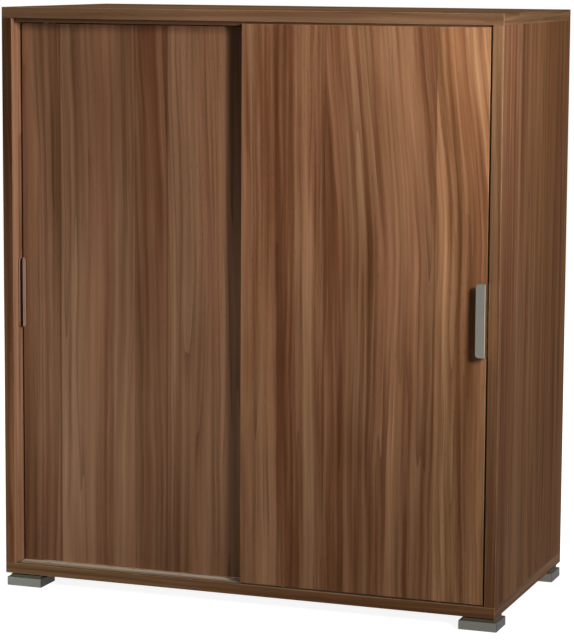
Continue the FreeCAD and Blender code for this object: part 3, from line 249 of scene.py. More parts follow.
def make_walnut_group():
    """Figure of walnut veneer: flowing streaks in several widths, dark growth lines and short pores."""
    group = bpy.data.node_groups.new("walnut_figure", "ShaderNodeTree")
    for name, kind in (("Place", "NodeSocketVector"), ("Leaf", "NodeSocketFloat"),
                       ("Lean", "NodeSocketFloat"), ("Contrast", "NodeSocketFloat")):
        group.interface.new_socket(name, in_out="INPUT", socket_type=kind)
    for name, kind in (("Color", "NodeSocketColor"), ("Height", "NodeSocketFloat"),
                       ("Roughness", "NodeSocketFloat")):
        group.interface.new_socket(name, in_out="OUTPUT", socket_type=kind)
    sheet = Sheet(group)
    given = sheet.add("NodeGroupInput").outputs
    outlet = sheet.add("NodeGroupOutput")
    across, y, z = bent_grain(sheet, given)
    streak = {}
    for name, (wide, long, detail, roughness) in STREAKS.items():
        place = sheet.join(*[sheet.math("MULTIPLY", value, scale)
                             for value, scale in ((across, wide), (y, wide), (z, long))])
        streak[name] = sheet.noise(place, 1.0, detail, roughness)
    growth = sheet.math("MULTIPLY", growth_lines(sheet, streak), given["Contrast"])
    pores = sheet.math("MULTIPLY", open_pores(sheet, streak), given["Contrast"])
    fine = 0.0
    for name, weight in FINE_WEIGHTS:
        fine = sheet.vary(streak[name], weight, fine)
    fine = sheet.math("MULTIPLY_ADD", sheet.remap(streak["glint"], *GLINT_RANGE), GLINT_WEIGHT, fine)
    mixed = 0.5
    for name, weight in COARSE_WEIGHTS:
        mixed = sheet.vary(streak[name], weight, mixed)
    mixed = sheet.math("MULTIPLY_ADD", fine, given["Contrast"], mixed)
    colour = sheet.ramp(mixed, WALNUT_RAMP)
    # some bands lean to red, some to olive
    warm = sheet.blend(sheet.remap(streak["warmth"], *WARM_RANGE), OLIVE_TINT, RED_TINT)
    colour = sheet.blend(WARMTH, colour, warm, "MULTIPLY")
    colour = sheet.blend(sheet.math("MULTIPLY", growth, GROWTH_DARKNESS), colour, WALNUT_LINE)
    colour = sheet.blend(sheet.math("MULTIPLY", pores, PORE_DARKNESS), colour, PORE_BROWN)
    colour = sheet.blend(pin_knots(sheet, across, y, z), colour, PORE_BROWN)
    sheet.feed(outlet.inputs["Color"], colour)
    relief = sheet.math("MULTIPLY", streak["fibres"], FIBRE_RELIEF)
    relief = sheet.math("MULTIPLY_ADD", pores, PORE_RELIEF, relief)
    sheet.feed(outlet.inputs["Height"], sheet.math("MULTIPLY_ADD", growth, GROWTH_RELIEF, relief))
    sheet.feed(outlet.inputs["Roughness"], sheet.math("MULTIPLY_ADD", mixed, PALE_GLOSS, VENEER_ROUGHNESS))
    return group


WALNUT = make_walnut_group()
FACING = 0.7
SEAM_WIDTH = 0.003
LEAF_STEP, LEAF_STEP_GROWTH = 0.37, 0.11
# where painted shade comes in towards the back of a board, along Y
PAINTED_SHADE_START, PAINTED_SHADE_END = -0.15, 0.05
ARRIS_WIDTH = 0.0016
# the arrises are lighter, partly from use and partly as a painted highlight, more in some places than
# others
ARRIS_USED_AND_LIT = tone(169, 136, 103)
SCUFF_AND_GLEAM_NOISE, SCUFF_AND_GLEAM_RANGE = (30.0, 3.0, 0.6), (0.30, 0.65, 0.35, 1.0)
PRESSED_NOISE, PRESSED_SHADE = (420.0, 3.0, 0.65), (0.3, 0.7, 0.86, 1.1)
PRESSED_CLOUD, PRESSED_CLOUD_WEIGHT = (9.0, 3.0, 0.55), 0.12
VENEER_BUMP, VENEER_RELIEF = 0.35, 0.0003
GRAIN_TURN = {"Z": (0.0, 0.0, 0.0), "X": (0.0, math.radians(-90.0), 0.0)}


def near_arris(sheet, place, low, high, along):
    """1 at the edges of a box between two corners that run along the given axes, 0 away from them."""
    gaps = {}
    for axis, value, start, end in zip("XYZ", sheet.split(place), low, high):
        middle, reach = (start + end) / 2, (end - start) / 2
        away = sheet.math("ABSOLUTE", sheet.math("SUBTRACT", value, middle))
        gaps[axis] = sheet.math("SUBTRACT", reach, away)
    nearest = 1.0
    for axis in along:
        first, second = [gap for other, gap in gaps.items() if other != axis]
        nearest = sheet.math("MINIMUM", sheet.math("MAXIMUM", first, second), nearest)
    return sheet.remap(nearest, 0.0, ARRIS_WIDTH, 1.0, 0.0)


def box_around(corners):
    """Lowest and highest corner of a box around points."""
    return [[pick(corner[axis] for corner in corners) for axis in range(3)] for pick in (min, max)]


def edges_used_and_lit(sheet, board, place, along, use_and_highlight):
    """How light the edges of a board are, partly from use and partly as a painted highlight, more in some
    places than in others.
    """
    box = box_around([vertex.co for vertex in nodes[board].data.vertices])
    scuffed_and_lit = sheet.remap(sheet.noise(place, *SCUFF_AND_GLEAM_NOISE), *SCUFF_AND_GLEAM_RANGE)
    near = near_arris(sheet, place, *box, along)
    return sheet.math("MULTIPLY", sheet.math("MULTIPLY", near, scuffed_and_lit), use_and_highlight)


def pressed_board(sheet, place, brown):
    """Colour and height of the plain side of pressed hardboard."""
    pressed = sheet.noise(place, *PRESSED_NOISE)
    shade = sheet.math("MULTIPLY_ADD", sheet.noise(place, *PRESSED_CLOUD), PRESSED_CLOUD_WEIGHT,
                       sheet.remap(pressed, *PRESSED_SHADE))
    return sheet.vector("SCALE", brown[:3], scale=shade), pressed


def turn_grain(sheet, place, normal, grain):
    """Place and normal turned so that the grain runs along Z."""
    turned = []
    for kind, source in (("POINT", place), ("NORMAL", normal)):
        mapping = sheet.add("ShaderNodeMapping", vector_type=kind)
        mapping.inputs["Rotation"].default_value = GRAIN_TURN[grain]
        sheet.feed(mapping.inputs["Vector"], source)
        turned.append(mapping.outputs[0])
    return turned


def lay(material, *names):
    """Give a finish to the frame's own solids."""
    for name in names:
        for slot in nodes[name].material_slots:
            slot.material = material


def walnut_finish(board, grain, seed, lean=0.0, joints=(), tint=WHITE, rear=None, edge=None, cheek=None,
                  deep=None, edge_fade=None, specular=0.02, contrast=0.8, use_and_highlight=0.45, arrises_along="XYZ"):
    """Veneer with its grain along one axis. Each joint gives where a new leaf starts across the grain,
    how much more than the leaf before it leans, how dark the seam is and the leaf's tint. The rear face
    can be plain; the front edge, the right face and the deeper part of the board can have tints of painted
    light and shade, and the front edge another painted light that comes in along it (axis, where it starts,
    where it is full, tint). The arrises are lighter, partly from use and partly as a painted highlight."""
    material, sheet, surface = new_finish("walnut_" + board, 0.5, specular=specular)
    places = sheet.add("ShaderNodeTexCoord").outputs
    spots = sheet.split(places["Object"])
    normal = sheet.split(places["Normal"])
    turned, turned_normal = turn_grain(sheet, places["Object"], places["Normal"], grain)
    x, y, z = sheet.split(turned)
    # the ends of a board are banded, with the band's grain across them
    end = sheet.math("GREATER_THAN", sheet.math("ABSOLUTE", sheet.split(turned_normal)[2]), FACING)
    leaf, leaning, seams, shades = seed, lean, 0.0, []
    for number, (start, more_lean, seam, own) in enumerate(joints, start=1):
        past = sheet.math("GREATER_THAN", x, start)
        beside = sheet.math("ABSOLUTE", sheet.math("SUBTRACT", x, start))
        seams = sheet.math("ADD", seams, sheet.remap(beside, 0.0, SEAM_WIDTH, seam, 0.0))
        leaf = sheet.math("MULTIPLY_ADD", past, LEAF_STEP + LEAF_STEP_GROWTH * number, leaf)
        leaning = sheet.math("MULTIPLY_ADD", past, more_lean, leaning)
        shades.append((past, own))
    figure = sheet.add("ShaderNodeGroup", node_tree=WALNUT)
    place = sheet.blend_vector(end, turned, sheet.join(z, x, y))
    for name, source in (("Place", place), ("Leaf", leaf), ("Lean", leaning), ("Contrast", contrast)):
        sheet.feed(figure.inputs[name], source)
    front = sheet.math("LESS_THAN", normal[1], -FACING)
    # painted light and shade: tints on the front face, on the face that looks along X and towards the back
    shades += [(front, edge), (sheet.math("GREATER_THAN", normal[0], FACING), cheek),
               (sheet.remap(spots[1], PAINTED_SHADE_START, PAINTED_SHADE_END), deep)]
    # painted light that comes in along the front face
    if edge_fade is not None:
        axis, none, full, own = edge_fade
        shades.append((sheet.math("MULTIPLY", front, sheet.remap(spots[axis], none, full)), own))
    colour = sheet.blend(1.0, figure.outputs["Color"], tint, "MULTIPLY")
    for share, own in shades:
        if own not in (None, WHITE):
            colour = sheet.blend(share, colour, own, "MULTIPLY")
    if joints:
        colour = sheet.blend(seams, colour, WALNUT_LINE)
    arris_use_and_light = edges_used_and_lit(sheet, board, places["Object"], arrises_along, use_and_highlight)
    # lighter arrises: partly from use, partly a painted highlight
    colour = sheet.blend(arris_use_and_light, colour, ARRIS_USED_AND_LIT)
    relief = figure.outputs["Height"]
    if rear is not None:
        brown, pressed = pressed_board(sheet, places["Object"], rear)
        behind = sheet.math("GREATER_THAN", normal[1], FACING)
        colour = sheet.blend(behind, colour, brown)
        relief = sheet.math("MULTIPLY_ADD", behind, sheet.math("SUBTRACT", pressed, relief), relief)
    sheet.feed(surface.inputs["Base Color"], colour)
    sheet.feed(surface.inputs["Roughness"], figure.outputs["Roughness"])
    sheet.feed(surface.inputs["Normal"], sheet.bump(relief, VENEER_BUMP, VENEER_RELIEF))
    lay(material, board)


# ---------------------------------------------------------------------------------------------------
# Metals and plastics
# ---------------------------------------------------------------------------------------------------
FRONT_RIB = -0.206
INNER_DOOR = -0.182
FOOT_LEDGE, LEDGE_BLEND = 0.0155, 0.0008
SIDEWAYS_START, SIDEWAYS_FULL = 0.3, 0.9
BRUSH_FINE, BRUSH_LONG, BRUSH_NOISE = 2600.0, 30.0, (1.0, 3.0, 0.6)
METAL_CLOUD, METAL_CLOUD_WEIGHT = (40.0, 3.0, 0.55), 0.12
PLASTIC_CLOUD, PLASTIC_CLOUD_WEIGHT = (30.0, 2.0, 0.5), 0.16
METAL_GLOSS, PLASTIC_GLOSS = 0.25, 0.2
METAL_BUMP, PLASTIC_BUMP, FINE_RELIEF = 0.12, 0.25, 0.0001


def metal_finish(name, colour, roughness, brush_axis, contrast=0.18, metallic=1.0, areas=(), specular=0.5):
    """Satin metal with fine brushing along one axis. Each area gives what is read (a coordinate or how much
    a face looks along X), the two readings between which its painted colour of light and shade comes in,
    and that colour."""
    material, sheet, surface = new_finish(name, roughness, metallic=metallic, specular=specular)
    places = sheet.add("ShaderNodeTexCoord").outputs
    mapping = sheet.add("ShaderNodeMapping")
    stretch = [BRUSH_LONG if axis == brush_axis else BRUSH_FINE for axis in "XYZ"]
    mapping.inputs["Scale"].default_value = stretch
    sheet.feed(mapping.inputs["Vector"], places["Object"])
    brushed = sheet.noise(mapping.outputs[0], *BRUSH_NOISE)
    cloud = sheet.noise(places["Object"], *METAL_CLOUD)
    shade = sheet.vary(cloud, METAL_CLOUD_WEIGHT, sheet.vary(brushed, contrast, 1.0))
    readings = dict(zip("xyz", sheet.split(places["Object"])))
    readings["sideways"] = sheet.math("ABSOLUTE", sheet.split(places["Normal"])[0])
    for reading, low, high, other in areas:
        colour = sheet.blend(sheet.remap(readings[reading], low, high), colour, other)
    if not areas:
        colour = colour[:3]
    sheet.feed(surface.inputs["Base Color"], sheet.vector("SCALE", colour, scale=shade))
    sheet.feed(surface.inputs["Roughness"], sheet.vary(brushed, METAL_GLOSS, roughness))
    sheet.feed(surface.inputs["Normal"], sheet.bump(brushed, METAL_BUMP, FINE_RELIEF))
    return material


def plastic_finish(name, colour, roughness, grain_scale=900.0):
    """Moulded plastic with a fine spark-eroded texture."""
    material, sheet, surface = new_finish(name, roughness)
    place = sheet.add("ShaderNodeTexCoord").outputs["Object"]
    fine = sheet.noise(place, grain_scale, 3.0, 0.6)
    shade = sheet.vary(sheet.noise(place, *PLASTIC_CLOUD), PLASTIC_CLOUD_WEIGHT, 1.0)
    sheet.feed(surface.inputs["Base Color"], sheet.vector("SCALE", colour[:3], scale=shade))
    sheet.feed(surface.inputs["Roughness"], sheet.vary(fine, PLASTIC_GLOSS, roughness))
    sheet.feed(surface.inputs["Normal"], sheet.bump(fine, PLASTIC_BUMP, FINE_RELIEF))
    return material


# where the veneer leaves meet: (place across the grain, added lean, darkness of the seam, tint)
PALE_LEAF = (1.44, 1.58, 1.58, 1.0)
LEFT_DOOR_LEAVES = ((-0.3575, 0.0, 0.5, WHITE), (-0.2155, 0.01, 0.2, WHITE), (-0.1555, -0.01, 0.5, WHITE))
RIGHT_DOOR_LEAVES = ((0.142, 0.045, 0.30, WHITE), (0.335, 0.005, 0.25, PALE_LEAF))
BACK_LEAVES = ((-0.3, 0.0, 0.2, WHITE), (-0.1, 0.02, 0.2, WHITE), (0.12, -0.03, 0.2, WHITE),
               (0.3, 0.0, 0.2, WHITE))
# tints of whole boards; those of their edges and ends, and of what comes in along them, are painted light
# and shade
DOOR_TINT = (1.04, 1.06, 1.04, 1.0)
COOL_TINT = (0.78, 0.77, 0.77, 1.0)
SIDE_TINT = (0.95, 1.00, 0.97, 1.0)
# painted shade: the right side darker and less blue towards its back
SIDE_DEEP_PAINTED_SHADE = (0.70, 0.60, 0.44, 1.0)
# painted light on the right end of the top
TOP_END_PAINTED_LIGHT = (1.60, 1.68, 1.75, 1.0)
TOP_TINT = (0.50, 0.55, 0.55, 1.0)
BASE_TINT = (0.84, 0.93, 0.86, 1.0)
# painted shade on the right end of the bottom
BASE_END_PAINTED_SHADE = (0.90, 0.90, 0.90, 1.0)
# painted shade on the front edge of the left side, and painted light that comes in towards its foot
LEFT_EDGE_PAINTED_SHADE = (0.33, 0.285, 0.245, 1.0)
LEFT_EDGE_PAINTED_LIGHT = (2, 0.90, 0.05, (2.5, 2.55, 2.5, 1.0))
# painted light on the front edge of the top, coming in towards its left end
TOP_EDGE_PAINTED_LIGHT = (0, 0.25, -0.15, (1.38, 1.37, 1.38, 1.0))
# painted light on the inner face of the left side
LEFT_CHEEK_PAINTED_LIGHT = (1.60, 1.75, 1.95, 1.0)
# painted highlight: the front edge of the right side lighter and cooler
RIGHT_EDGE_PAINTED_LIGHT = (1.05, 1.14, 1.18, 1.0)
HARDBOARD = tone(134, 101, 70)

FEET = ("front_left", "front_right", "back_left", "back_right")
SHELVES = ("left_lower", "left_upper", "right_lower", "right_upper")
SIDES = ("left", "right")

walnut_finish("left_door_panel", "Z", 1.3, 0.01, LEFT_DOOR_LEAVES, COOL_TINT, contrast=0.72, use_and_highlight=0.2)
walnut_finish("right_door_panel", "Z", 4.1, 0.0, RIGHT_DOOR_LEAVES, DOOR_TINT, contrast=0.9, use_and_highlight=0.15)
walnut_finish("left_side_panel", "Z", 7.7, edge=LEFT_EDGE_PAINTED_SHADE, cheek=LEFT_CHEEK_PAINTED_LIGHT,
              edge_fade=LEFT_EDGE_PAINTED_LIGHT, arrises_along="Z")
walnut_finish("right_side_panel", "Z", 9.2, tint=SIDE_TINT, edge=RIGHT_EDGE_PAINTED_LIGHT, deep=SIDE_DEEP_PAINTED_SHADE,
              specular=0.006, contrast=0.7, arrises_along="Z")
walnut_finish("centre_divider", "Z", 12.6)
walnut_finish("top_panel", "X", 15.4, tint=TOP_TINT, cheek=TOP_END_PAINTED_LIGHT, edge_fade=TOP_EDGE_PAINTED_LIGHT,
              specular=0.0, arrises_along="XZ")
walnut_finish("bottom_panel", "X", 18.8, tint=BASE_TINT, cheek=BASE_END_PAINTED_SHADE, use_and_highlight=0.7, arrises_along="XZ")
for number, shelf in enumerate(SHELVES):
    walnut_finish("shelf_" + shelf, "X", 21.1 + number)
walnut_finish("back_panel", "Z", 27.5, joints=BACK_LEAVES, rear=HARDBOARD)

# painted reflection: the faces of the right pull that look along X are pale and warm
steel = metal_finish("brushed_steel_pull", tone(120, 117, 110), 0.34, "Z",
                     areas=(("sideways", SIDEWAYS_START, SIDEWAYS_FULL, tone(206, 190, 164)),))
# painted light and shade: a brown, non-metal copy of the pull steel, its front painted as the reflection of
# the wood and its faces that look along X nearly black as shade
shaded_steel = metal_finish("brushed_steel_pull_inner", tone(176, 134, 112), 0.5, "Z", metallic=0.0,
                            areas=(("sideways", SIDEWAYS_START, SIDEWAYS_FULL, tone(12, 4, 3)),),
                            specular=0.1)
# painted shade: the faces of the feet that look along X, and the neck above the ledge, are darker
foot_grey = metal_finish("foot_metal_grey", tone(126, 123, 115), 0.42, "X", 0.10, metallic=0.1,
                         areas=(("sideways", SIDEWAYS_START, SIDEWAYS_FULL, tone(45, 40, 39)),
                                ("z", FOOT_LEDGE, FOOT_LEDGE + LEDGE_BLEND, tone(74, 67, 53))),
                         specular=0.15)
zinc = metal_finish("zinc_fitting", tone(169, 171, 169), 0.30, "Z", 0.10)
# painted light and shade: the bottom track is dark brown at its leading rib and much lighter towards the
# inner door
track_light = metal_finish("track_aluminium_satin", tone(112, 92, 72), 0.5, "X", metallic=0.15,
                           areas=(("y", FRONT_RIB, INNER_DOOR, tone(240, 218, 190)),))
# painted shade: the top track is dark brown and not metal, coloured as the shadowed gap under the top
track_dark = metal_finish("track_painted_shade", tone(84, 58, 40), 0.65, "X", metallic=0.0, specular=0.03)
black = plastic_finish("black_moulded_plastic", tone(34, 33, 33), 0.45)
nylon = plastic_finish("white_nylon", tone(216, 213, 205), 0.38)
rubber = plastic_finish("black_rubber_pad", tone(38, 38, 38), 0.7, 500.0)
beech = plastic_finish("beech_dowel", tone(205, 168, 120), 0.6, 400.0)

lay(steel, "right_pull")
lay(shaded_steel, "left_pull")
lay(foot_grey, *["foot_" + corner for corner in FEET])
lay(rubber, *["foot_pad_" + corner for corner in FEET])
lay(track_light, "bottom_track")
lay(track_dark, "top_track")
lay(zinc, "top_track_screws", "bottom_track_screws", "back_panel_screws", "foot_screws", "cam_bolts",
    "cam_locks", *["shelf_pins_" + shelf for shelf in SHELVES])
lay(beech, "wood_dowels")
for door in SIDES:
    lay(zinc, door + "_pull_screws", door + "_door_housing_screws")
    for end in SIDES:
        lay(black, "%s_door_roller_housing_%s" % (door, end))
        lay(zinc, "%s_door_axle_%s" % (door, end))
        lay(nylon, "%s_door_wheel_%s" % (door, end), "%s_door_guide_%s" % (door, end))

# ---------------------------------------------------------------------------------------------------
# Screws: a wafer head with a cross recess on a threaded shank, one tree for every size
# ---------------------------------------------------------------------------------------------------
SHANK_SIDES, HEAD_SIDES = 16, 28
THREAD_STEPS = 5
# shares of the shank's radius: how long the point is, pitch and depth of the thread
POINT_SHARE, PITCH_SHARE, THREAD_SHARE = 2.2, 0.9, 0.28
# shares of the head's radius or height: its rim and the recess in it
RIM_CURVE, RIM_FALL = 4.0, 0.35
DRIVE_REACH, DRIVE_WIDTH_SHARE, DRIVE_DEPTH_SHARE, DRIVE_TAPER = 1.15, 0.26, 0.8, 0.35
WELD_GAP = 1e-6
SCREW_INPUTS = (("Head Radius", "NodeSocketFloat"), ("Head Height", "NodeSocketFloat"),
                ("Shank Radius", "NodeSocketFloat"), ("Length", "NodeSocketFloat"),
                ("Thread Pitch", "NodeSocketFloat"), ("Thread Depth", "NodeSocketFloat"),
                ("Drive Width", "NodeSocketFloat"), ("Drive Depth", "NodeSocketFloat"),
                ("Seed", "NodeSocketInt"), ("Material", "NodeSocketMaterial"))


def moved(sheet, mesh, place=None, offset=None):
    """Mesh with its points at a place, or moved by an offset."""
    made = sheet.add("GeometryNodeSetPosition")
    sheet.feed(made.inputs["Geometry"], mesh)
    if place is not None:
        sheet.feed(made.inputs["Position"], place)
    if offset is not None:
        sheet.feed(made.inputs["Offset"], offset)
    return made.outputs[0]


def screw_shank(sheet, given):
    """A grid rolled into a tube, with a ridge that winds around it and a point at its end."""
    length, shank, pitch = given["Length"], given["Shank Radius"], given["Thread Pitch"]
    steps = sheet.math("MULTIPLY", sheet.math("DIVIDE", length, pitch), THREAD_STEPS)
    grid = sheet.add("GeometryNodeMeshGrid")
    grid.inputs["Size X"].default_value = 1.0
    grid.inputs["Size Y"].default_value = 1.0
    grid.inputs["Vertices X"].default_value = SHANK_SIDES + 1
    sheet.feed(grid.inputs["Vertices Y"], sheet.math("ADD", sheet.math("FLOOR", steps), 3.0))
    across, along, _ = sheet.split(sheet.add("GeometryNodeInputPosition").outputs[0])
    turn = sheet.math("ADD", across, 0.5)
    down = sheet.math("ADD", along, 0.5)
    angle = sheet.math("MULTIPLY", turn, -2 * math.pi)
    depth = sheet.math("MULTIPLY", down, length)
    winding = sheet.math("ADD", sheet.math("DIVIDE", depth, pitch), turn)
    ridge = sheet.math("SUBTRACT", sheet.math("FRACT", winding), 0.5)
    ridge = sheet.math("MULTIPLY", sheet.math("ABSOLUTE", ridge), 2.0)
    radius = sheet.math("MULTIPLY_ADD", sheet.math("SUBTRACT", ridge, 1.0), given["Thread Depth"], shank)
    left_over = sheet.math("DIVIDE", sheet.math("SUBTRACT", length, depth),
                           sheet.math("MULTIPLY", shank, POINT_SHARE), clamp=True)
    # the first ring closes the tube inside the head
    inside = sheet.math("GREATER_THAN", down, 0.0001)
    radius = sheet.math("MULTIPLY", sheet.math("MULTIPLY", radius, left_over), inside)
    sunk = sheet.math("ADD", depth, sheet.math("MULTIPLY", given["Head Height"], 0.5))
    tube = moved(sheet, grid.outputs["Mesh"], sheet.join(
        sheet.math("MULTIPLY", sheet.math("COSINE", angle), radius),
        sheet.math("MULTIPLY", sheet.math("SINE", angle), radius),
        sheet.math("MULTIPLY", sunk, -1.0)))
    weld = sheet.add("GeometryNodeMergeByDistance")
    sheet.feed(weld.inputs["Geometry"], tube)
    weld.inputs["Distance"].default_value = WELD_GAP
    return weld.outputs["Geometry"]


def screw_head(sheet, given):
    """A low disc that falls towards its rim, with a cross recess that narrows towards its floor."""
    head_radius, head_height = given["Head Radius"], given["Head Height"]
    disc = sheet.add("GeometryNodeMeshCylinder", fill_type="TRIANGLE_FAN")
    disc.inputs["Vertices"].default_value = HEAD_SIDES
    disc.inputs["Side Segments"].default_value = 2
    disc.inputs["Fill Segments"].default_value = 4
    sheet.feed(disc.inputs["Radius"], head_radius)
    sheet.feed(disc.inputs["Depth"], head_height)
    spot_x, spot_y, spot_z = sheet.split(sheet.add("GeometryNodeInputPosition").outputs[0])
    flat = sheet.add("ShaderNodeVectorMath", operation="LENGTH")
    sheet.feed(flat.inputs[0], sheet.join(spot_x, spot_y, 0.0))
    out = sheet.math("POWER", sheet.math("DIVIDE", flat.outputs["Value"], head_radius), RIM_CURVE)
    fall = sheet.math("MULTIPLY", sheet.math("MULTIPLY", out, head_height), -RIM_FALL)
    fall = sheet.math("MULTIPLY", fall, sheet.math("GREATER_THAN", spot_z, WELD_GAP))
    settle = sheet.math("SUBTRACT", fall, sheet.math("MULTIPLY", head_height, 0.5))
    dome = moved(sheet, disc.outputs["Mesh"], offset=sheet.join(0.0, 0.0, settle))
    bars = sheet.add("GeometryNodeJoinGeometry")
    reach = sheet.math("MULTIPLY", head_radius, DRIVE_REACH)
    tall = sheet.math("MULTIPLY", given["Drive Depth"], 2.0)
    for width, breadth in ((reach, given["Drive Width"]), (given["Drive Width"], reach)):
        bar = sheet.add("GeometryNodeMeshCube")
        sheet.feed(bar.inputs["Size"], sheet.join(width, breadth, tall))
        corner = sheet.add("GeometryNodeInputPosition").outputs[0]
        low = sheet.math("LESS_THAN", sheet.split(corner)[2], 0.0)
        narrow = sheet.math("MULTIPLY_ADD", low, -DRIVE_TAPER, 1.0)
        tapered = sheet.vector("MULTIPLY", corner, sheet.join(narrow, narrow, 1.0))
        sheet.feed(bars.inputs[0], moved(sheet, bar.outputs["Mesh"], tapered))
    recess = sheet.add("GeometryNodeMeshBoolean", operation="DIFFERENCE", solver="EXACT")
    recess.inputs["Self Intersection"].default_value = True
    sheet.feed(recess.inputs["Mesh 1"], dome)
    sheet.feed(recess.inputs["Mesh 2"], bars.outputs[0])
    return recess.outputs["Mesh"]


def turned_home(sheet, given):
    """Rotation that faces a screw the way its point says, each turned by another amount."""
    facing = sheet.add("GeometryNodeInputNamedAttribute", data_type="FLOAT_VECTOR")
    facing.inputs["Name"].default_value = "facing"
    align = sheet.add("FunctionNodeAlignRotationToVector", axis="Z")
    sheet.feed(align.inputs["Vector"], facing.outputs["Attribute"])
    twist = sheet.add("FunctionNodeRandomValue", data_type="FLOAT_VECTOR")
    twist.inputs["Min"].default_value = (0.0, 0.0, 0.0)
    twist.inputs["Max"].default_value = (0.0, 0.0, 2 * math.pi)
    sheet.feed(twist.inputs["Seed"], given["Seed"])
    turned = sheet.add("FunctionNodeRotateRotation", rotation_space="LOCAL")
    sheet.feed(turned.inputs["Rotation"], align.outputs[0])
    sheet.feed(turned.inputs["Rotate By"], twist.outputs["Value"])
    return turned.outputs[0]


def make_screw_group():
    """Screws on points. A point is the middle of the head's face, and its "facing" is where that looks."""
    group = bpy.data.node_groups.new("wafer_screw", "GeometryNodeTree")
    group.interface.new_socket("Points", in_out="INPUT", socket_type="NodeSocketGeometry")
    for name, kind in SCREW_INPUTS:
        group.interface.new_socket(name, in_out="INPUT", socket_type=kind)
    group.interface.new_socket("Geometry", in_out="OUTPUT", socket_type="NodeSocketGeometry")
    sheet = Sheet(group)
    given = sheet.add("NodeGroupInput").outputs
    whole = sheet.add("GeometryNodeJoinGeometry")
    sheet.feed(whole.inputs[0], screw_shank(sheet, given))
    sheet.feed(whole.inputs[0], screw_head(sheet, given))
    spread = sheet.add("GeometryNodeInstanceOnPoints")
    sheet.feed(spread.inputs["Points"], given["Points"])
    sheet.feed(spread.inputs["Instance"], whole.outputs[0])
    sheet.feed(spread.inputs["Rotation"], turned_home(sheet, given))
    real = sheet.add("GeometryNodeRealizeInstances")
    sheet.feed(real.inputs["Geometry"], spread.outputs[0])
    finish = sheet.add("GeometryNodeSetMaterial")
    sheet.feed(finish.inputs["Geometry"], real.outputs[0])
    sheet.feed(finish.inputs["Material"], given["Material"])
    sheet.feed(sheet.add("NodeGroupOutput").inputs["Geometry"], finish.outputs[0])
    return group


SCREW = make_screw_group()


def islands(name):
    """Lowest and highest corner of each separate solid of a node."""
    mesh = bmesh.new()
    mesh.from_mesh(nodes[name].data)
    bmesh.ops.remove_doubles(mesh, verts=mesh.verts, dist=WELD_GAP)
    seen, found = set(), []
    for start in mesh.verts:
        if start in seen:
            continue
        seen.add(start)
        waiting, corners = [start], []
        while waiting:
            vertex = waiting.pop()
            corners.append(vertex.co.copy())
            for line in vertex.link_edges:
                other = line.other_vert(vertex)
                if other not in seen:
                    seen.add(other)
                    waiting.append(other)
        found.append(box_around(corners))
    mesh.free()
    return sorted(found)


def drive_in(node, body, facing, sizes, seed):
    """Threaded screws with a cross recess in the places of a node's plain ones."""
    head_radius, head_height, shank_radius = sizes
    axis = max(range(3), key=lambda index: abs(facing[index]))
    heads, length = [], 0.0
    for low, high in islands(node):
        head = [(start + end) / 2 for start, end in zip(low, high)]
        head[axis] = high[axis] if facing[axis] > 0 else low[axis]
        heads.append(head)
        length = high[axis] - low[axis]
    points = bpy.data.meshes.new(node + "_places")
    points.from_pydata(heads, [], [])
    directions = points.attributes.new("facing", "FLOAT_VECTOR", "POINT")
    for item in directions.data:
        item.vector = facing
    piece = bpy.data.objects.new(node + "_threaded", points)
    scene.collection.objects.link(piece)
    modifier = piece.modifiers.new("screws", "NODES")
    modifier.node_group = SCREW
    given = {"Head Radius": head_radius, "Head Height": head_height, "Shank Radius": shank_radius,
             "Length": length - head_height / 2, "Thread Pitch": shank_radius * PITCH_SHARE,
             "Thread Depth": shank_radius * THREAD_SHARE, "Drive Width": head_radius * DRIVE_WIDTH_SHARE,
             "Drive Depth": head_height * DRIVE_DEPTH_SHARE, "Seed": seed, "Material": zinc}
    for socket in SCREW.interface.items_tree:
        if socket.name in given:
            modifier[socket.identifier] = given[socket.name]
    evaluated = piece.evaluated_get(bpy.context.evaluated_depsgraph_get())
    mesh = bpy.data.meshes.new_from_object(evaluated)
    piece.modifiers.remove(modifier)
    piece.data = mesh
    mesh.name = node + "_threaded"
    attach(piece, body)
    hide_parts(node)


# radius and height of the head, radius of the shank
SMALL_SCREW = (0.0034, 0.0010, 0.0015)
FOOT_SCREW = (0.0040, 0.0026, 0.0020)
FIRST_SEED, FOOT_SEED = 40, 50
for number, (node, body, facing) in enumerate((
        ("back_panel_screws", "carcass", (0.0, 1.0, 0.0)),
        ("bottom_track_screws", "carcass", (0.0, 0.0, 1.0)),
        ("top_track_screws", "carcass", (0.0, 0.0, -1.0)),
        ("left_door_housing_screws", "left_door", (0.0, 0.0, -1.0)),
        ("right_door_housing_screws", "right_door", (0.0, 0.0, -1.0)),
        ("left_pull_screws", "left_door", (-1.0, 0.0, 0.0)),
        ("right_pull_screws", "right_door", (1.0, 0.0, 0.0)))):
    drive_in(node, body, facing, SMALL_SCREW, FIRST_SEED + number)
drive_in("foot_screws", "carcass", (0.0, 0.0, -1.0), FOOT_SCREW, FOOT_SEED)

# ---------------------------------------------------------------------------------------------------
# Floor, light and camera
# ---------------------------------------------------------------------------------------------------
FLOOR_SIZE = 30.0
FLOOR_GREY = (0.40, 0.40, 0.40, 1.0)
GLOW_START, GLOW_FULL = 1.0, 4.5
GLOW_NEAR, GLOW_FAR = 0.90, 1.0
AMBIENT, AMBIENT_STRENGTH = (0.9, 0.95, 1.0, 1.0), 0.038
CAMERA_PLACE = Vector((1.5382, -4.1739, 1.0999))
YAW = math.radians(19.795)
PITCH = math.radians(7.046)
ROLL = math.radians(0.379)
LENS = 142.39
LENS_SHIFT = (-0.0315, -0.07)


def seen_ray(sheet):
    """1 for rays that show the background: from the camera, off gloss or through glass."""
    path = sheet.add("ShaderNodeLightPath")
    seen = sheet.math("MAXIMUM", path.outputs["Is Camera Ray"], path.outputs["Is Glossy Ray"])
    return sheet.math("MAXIMUM", seen, path.outputs["Is Transmission Ray"])


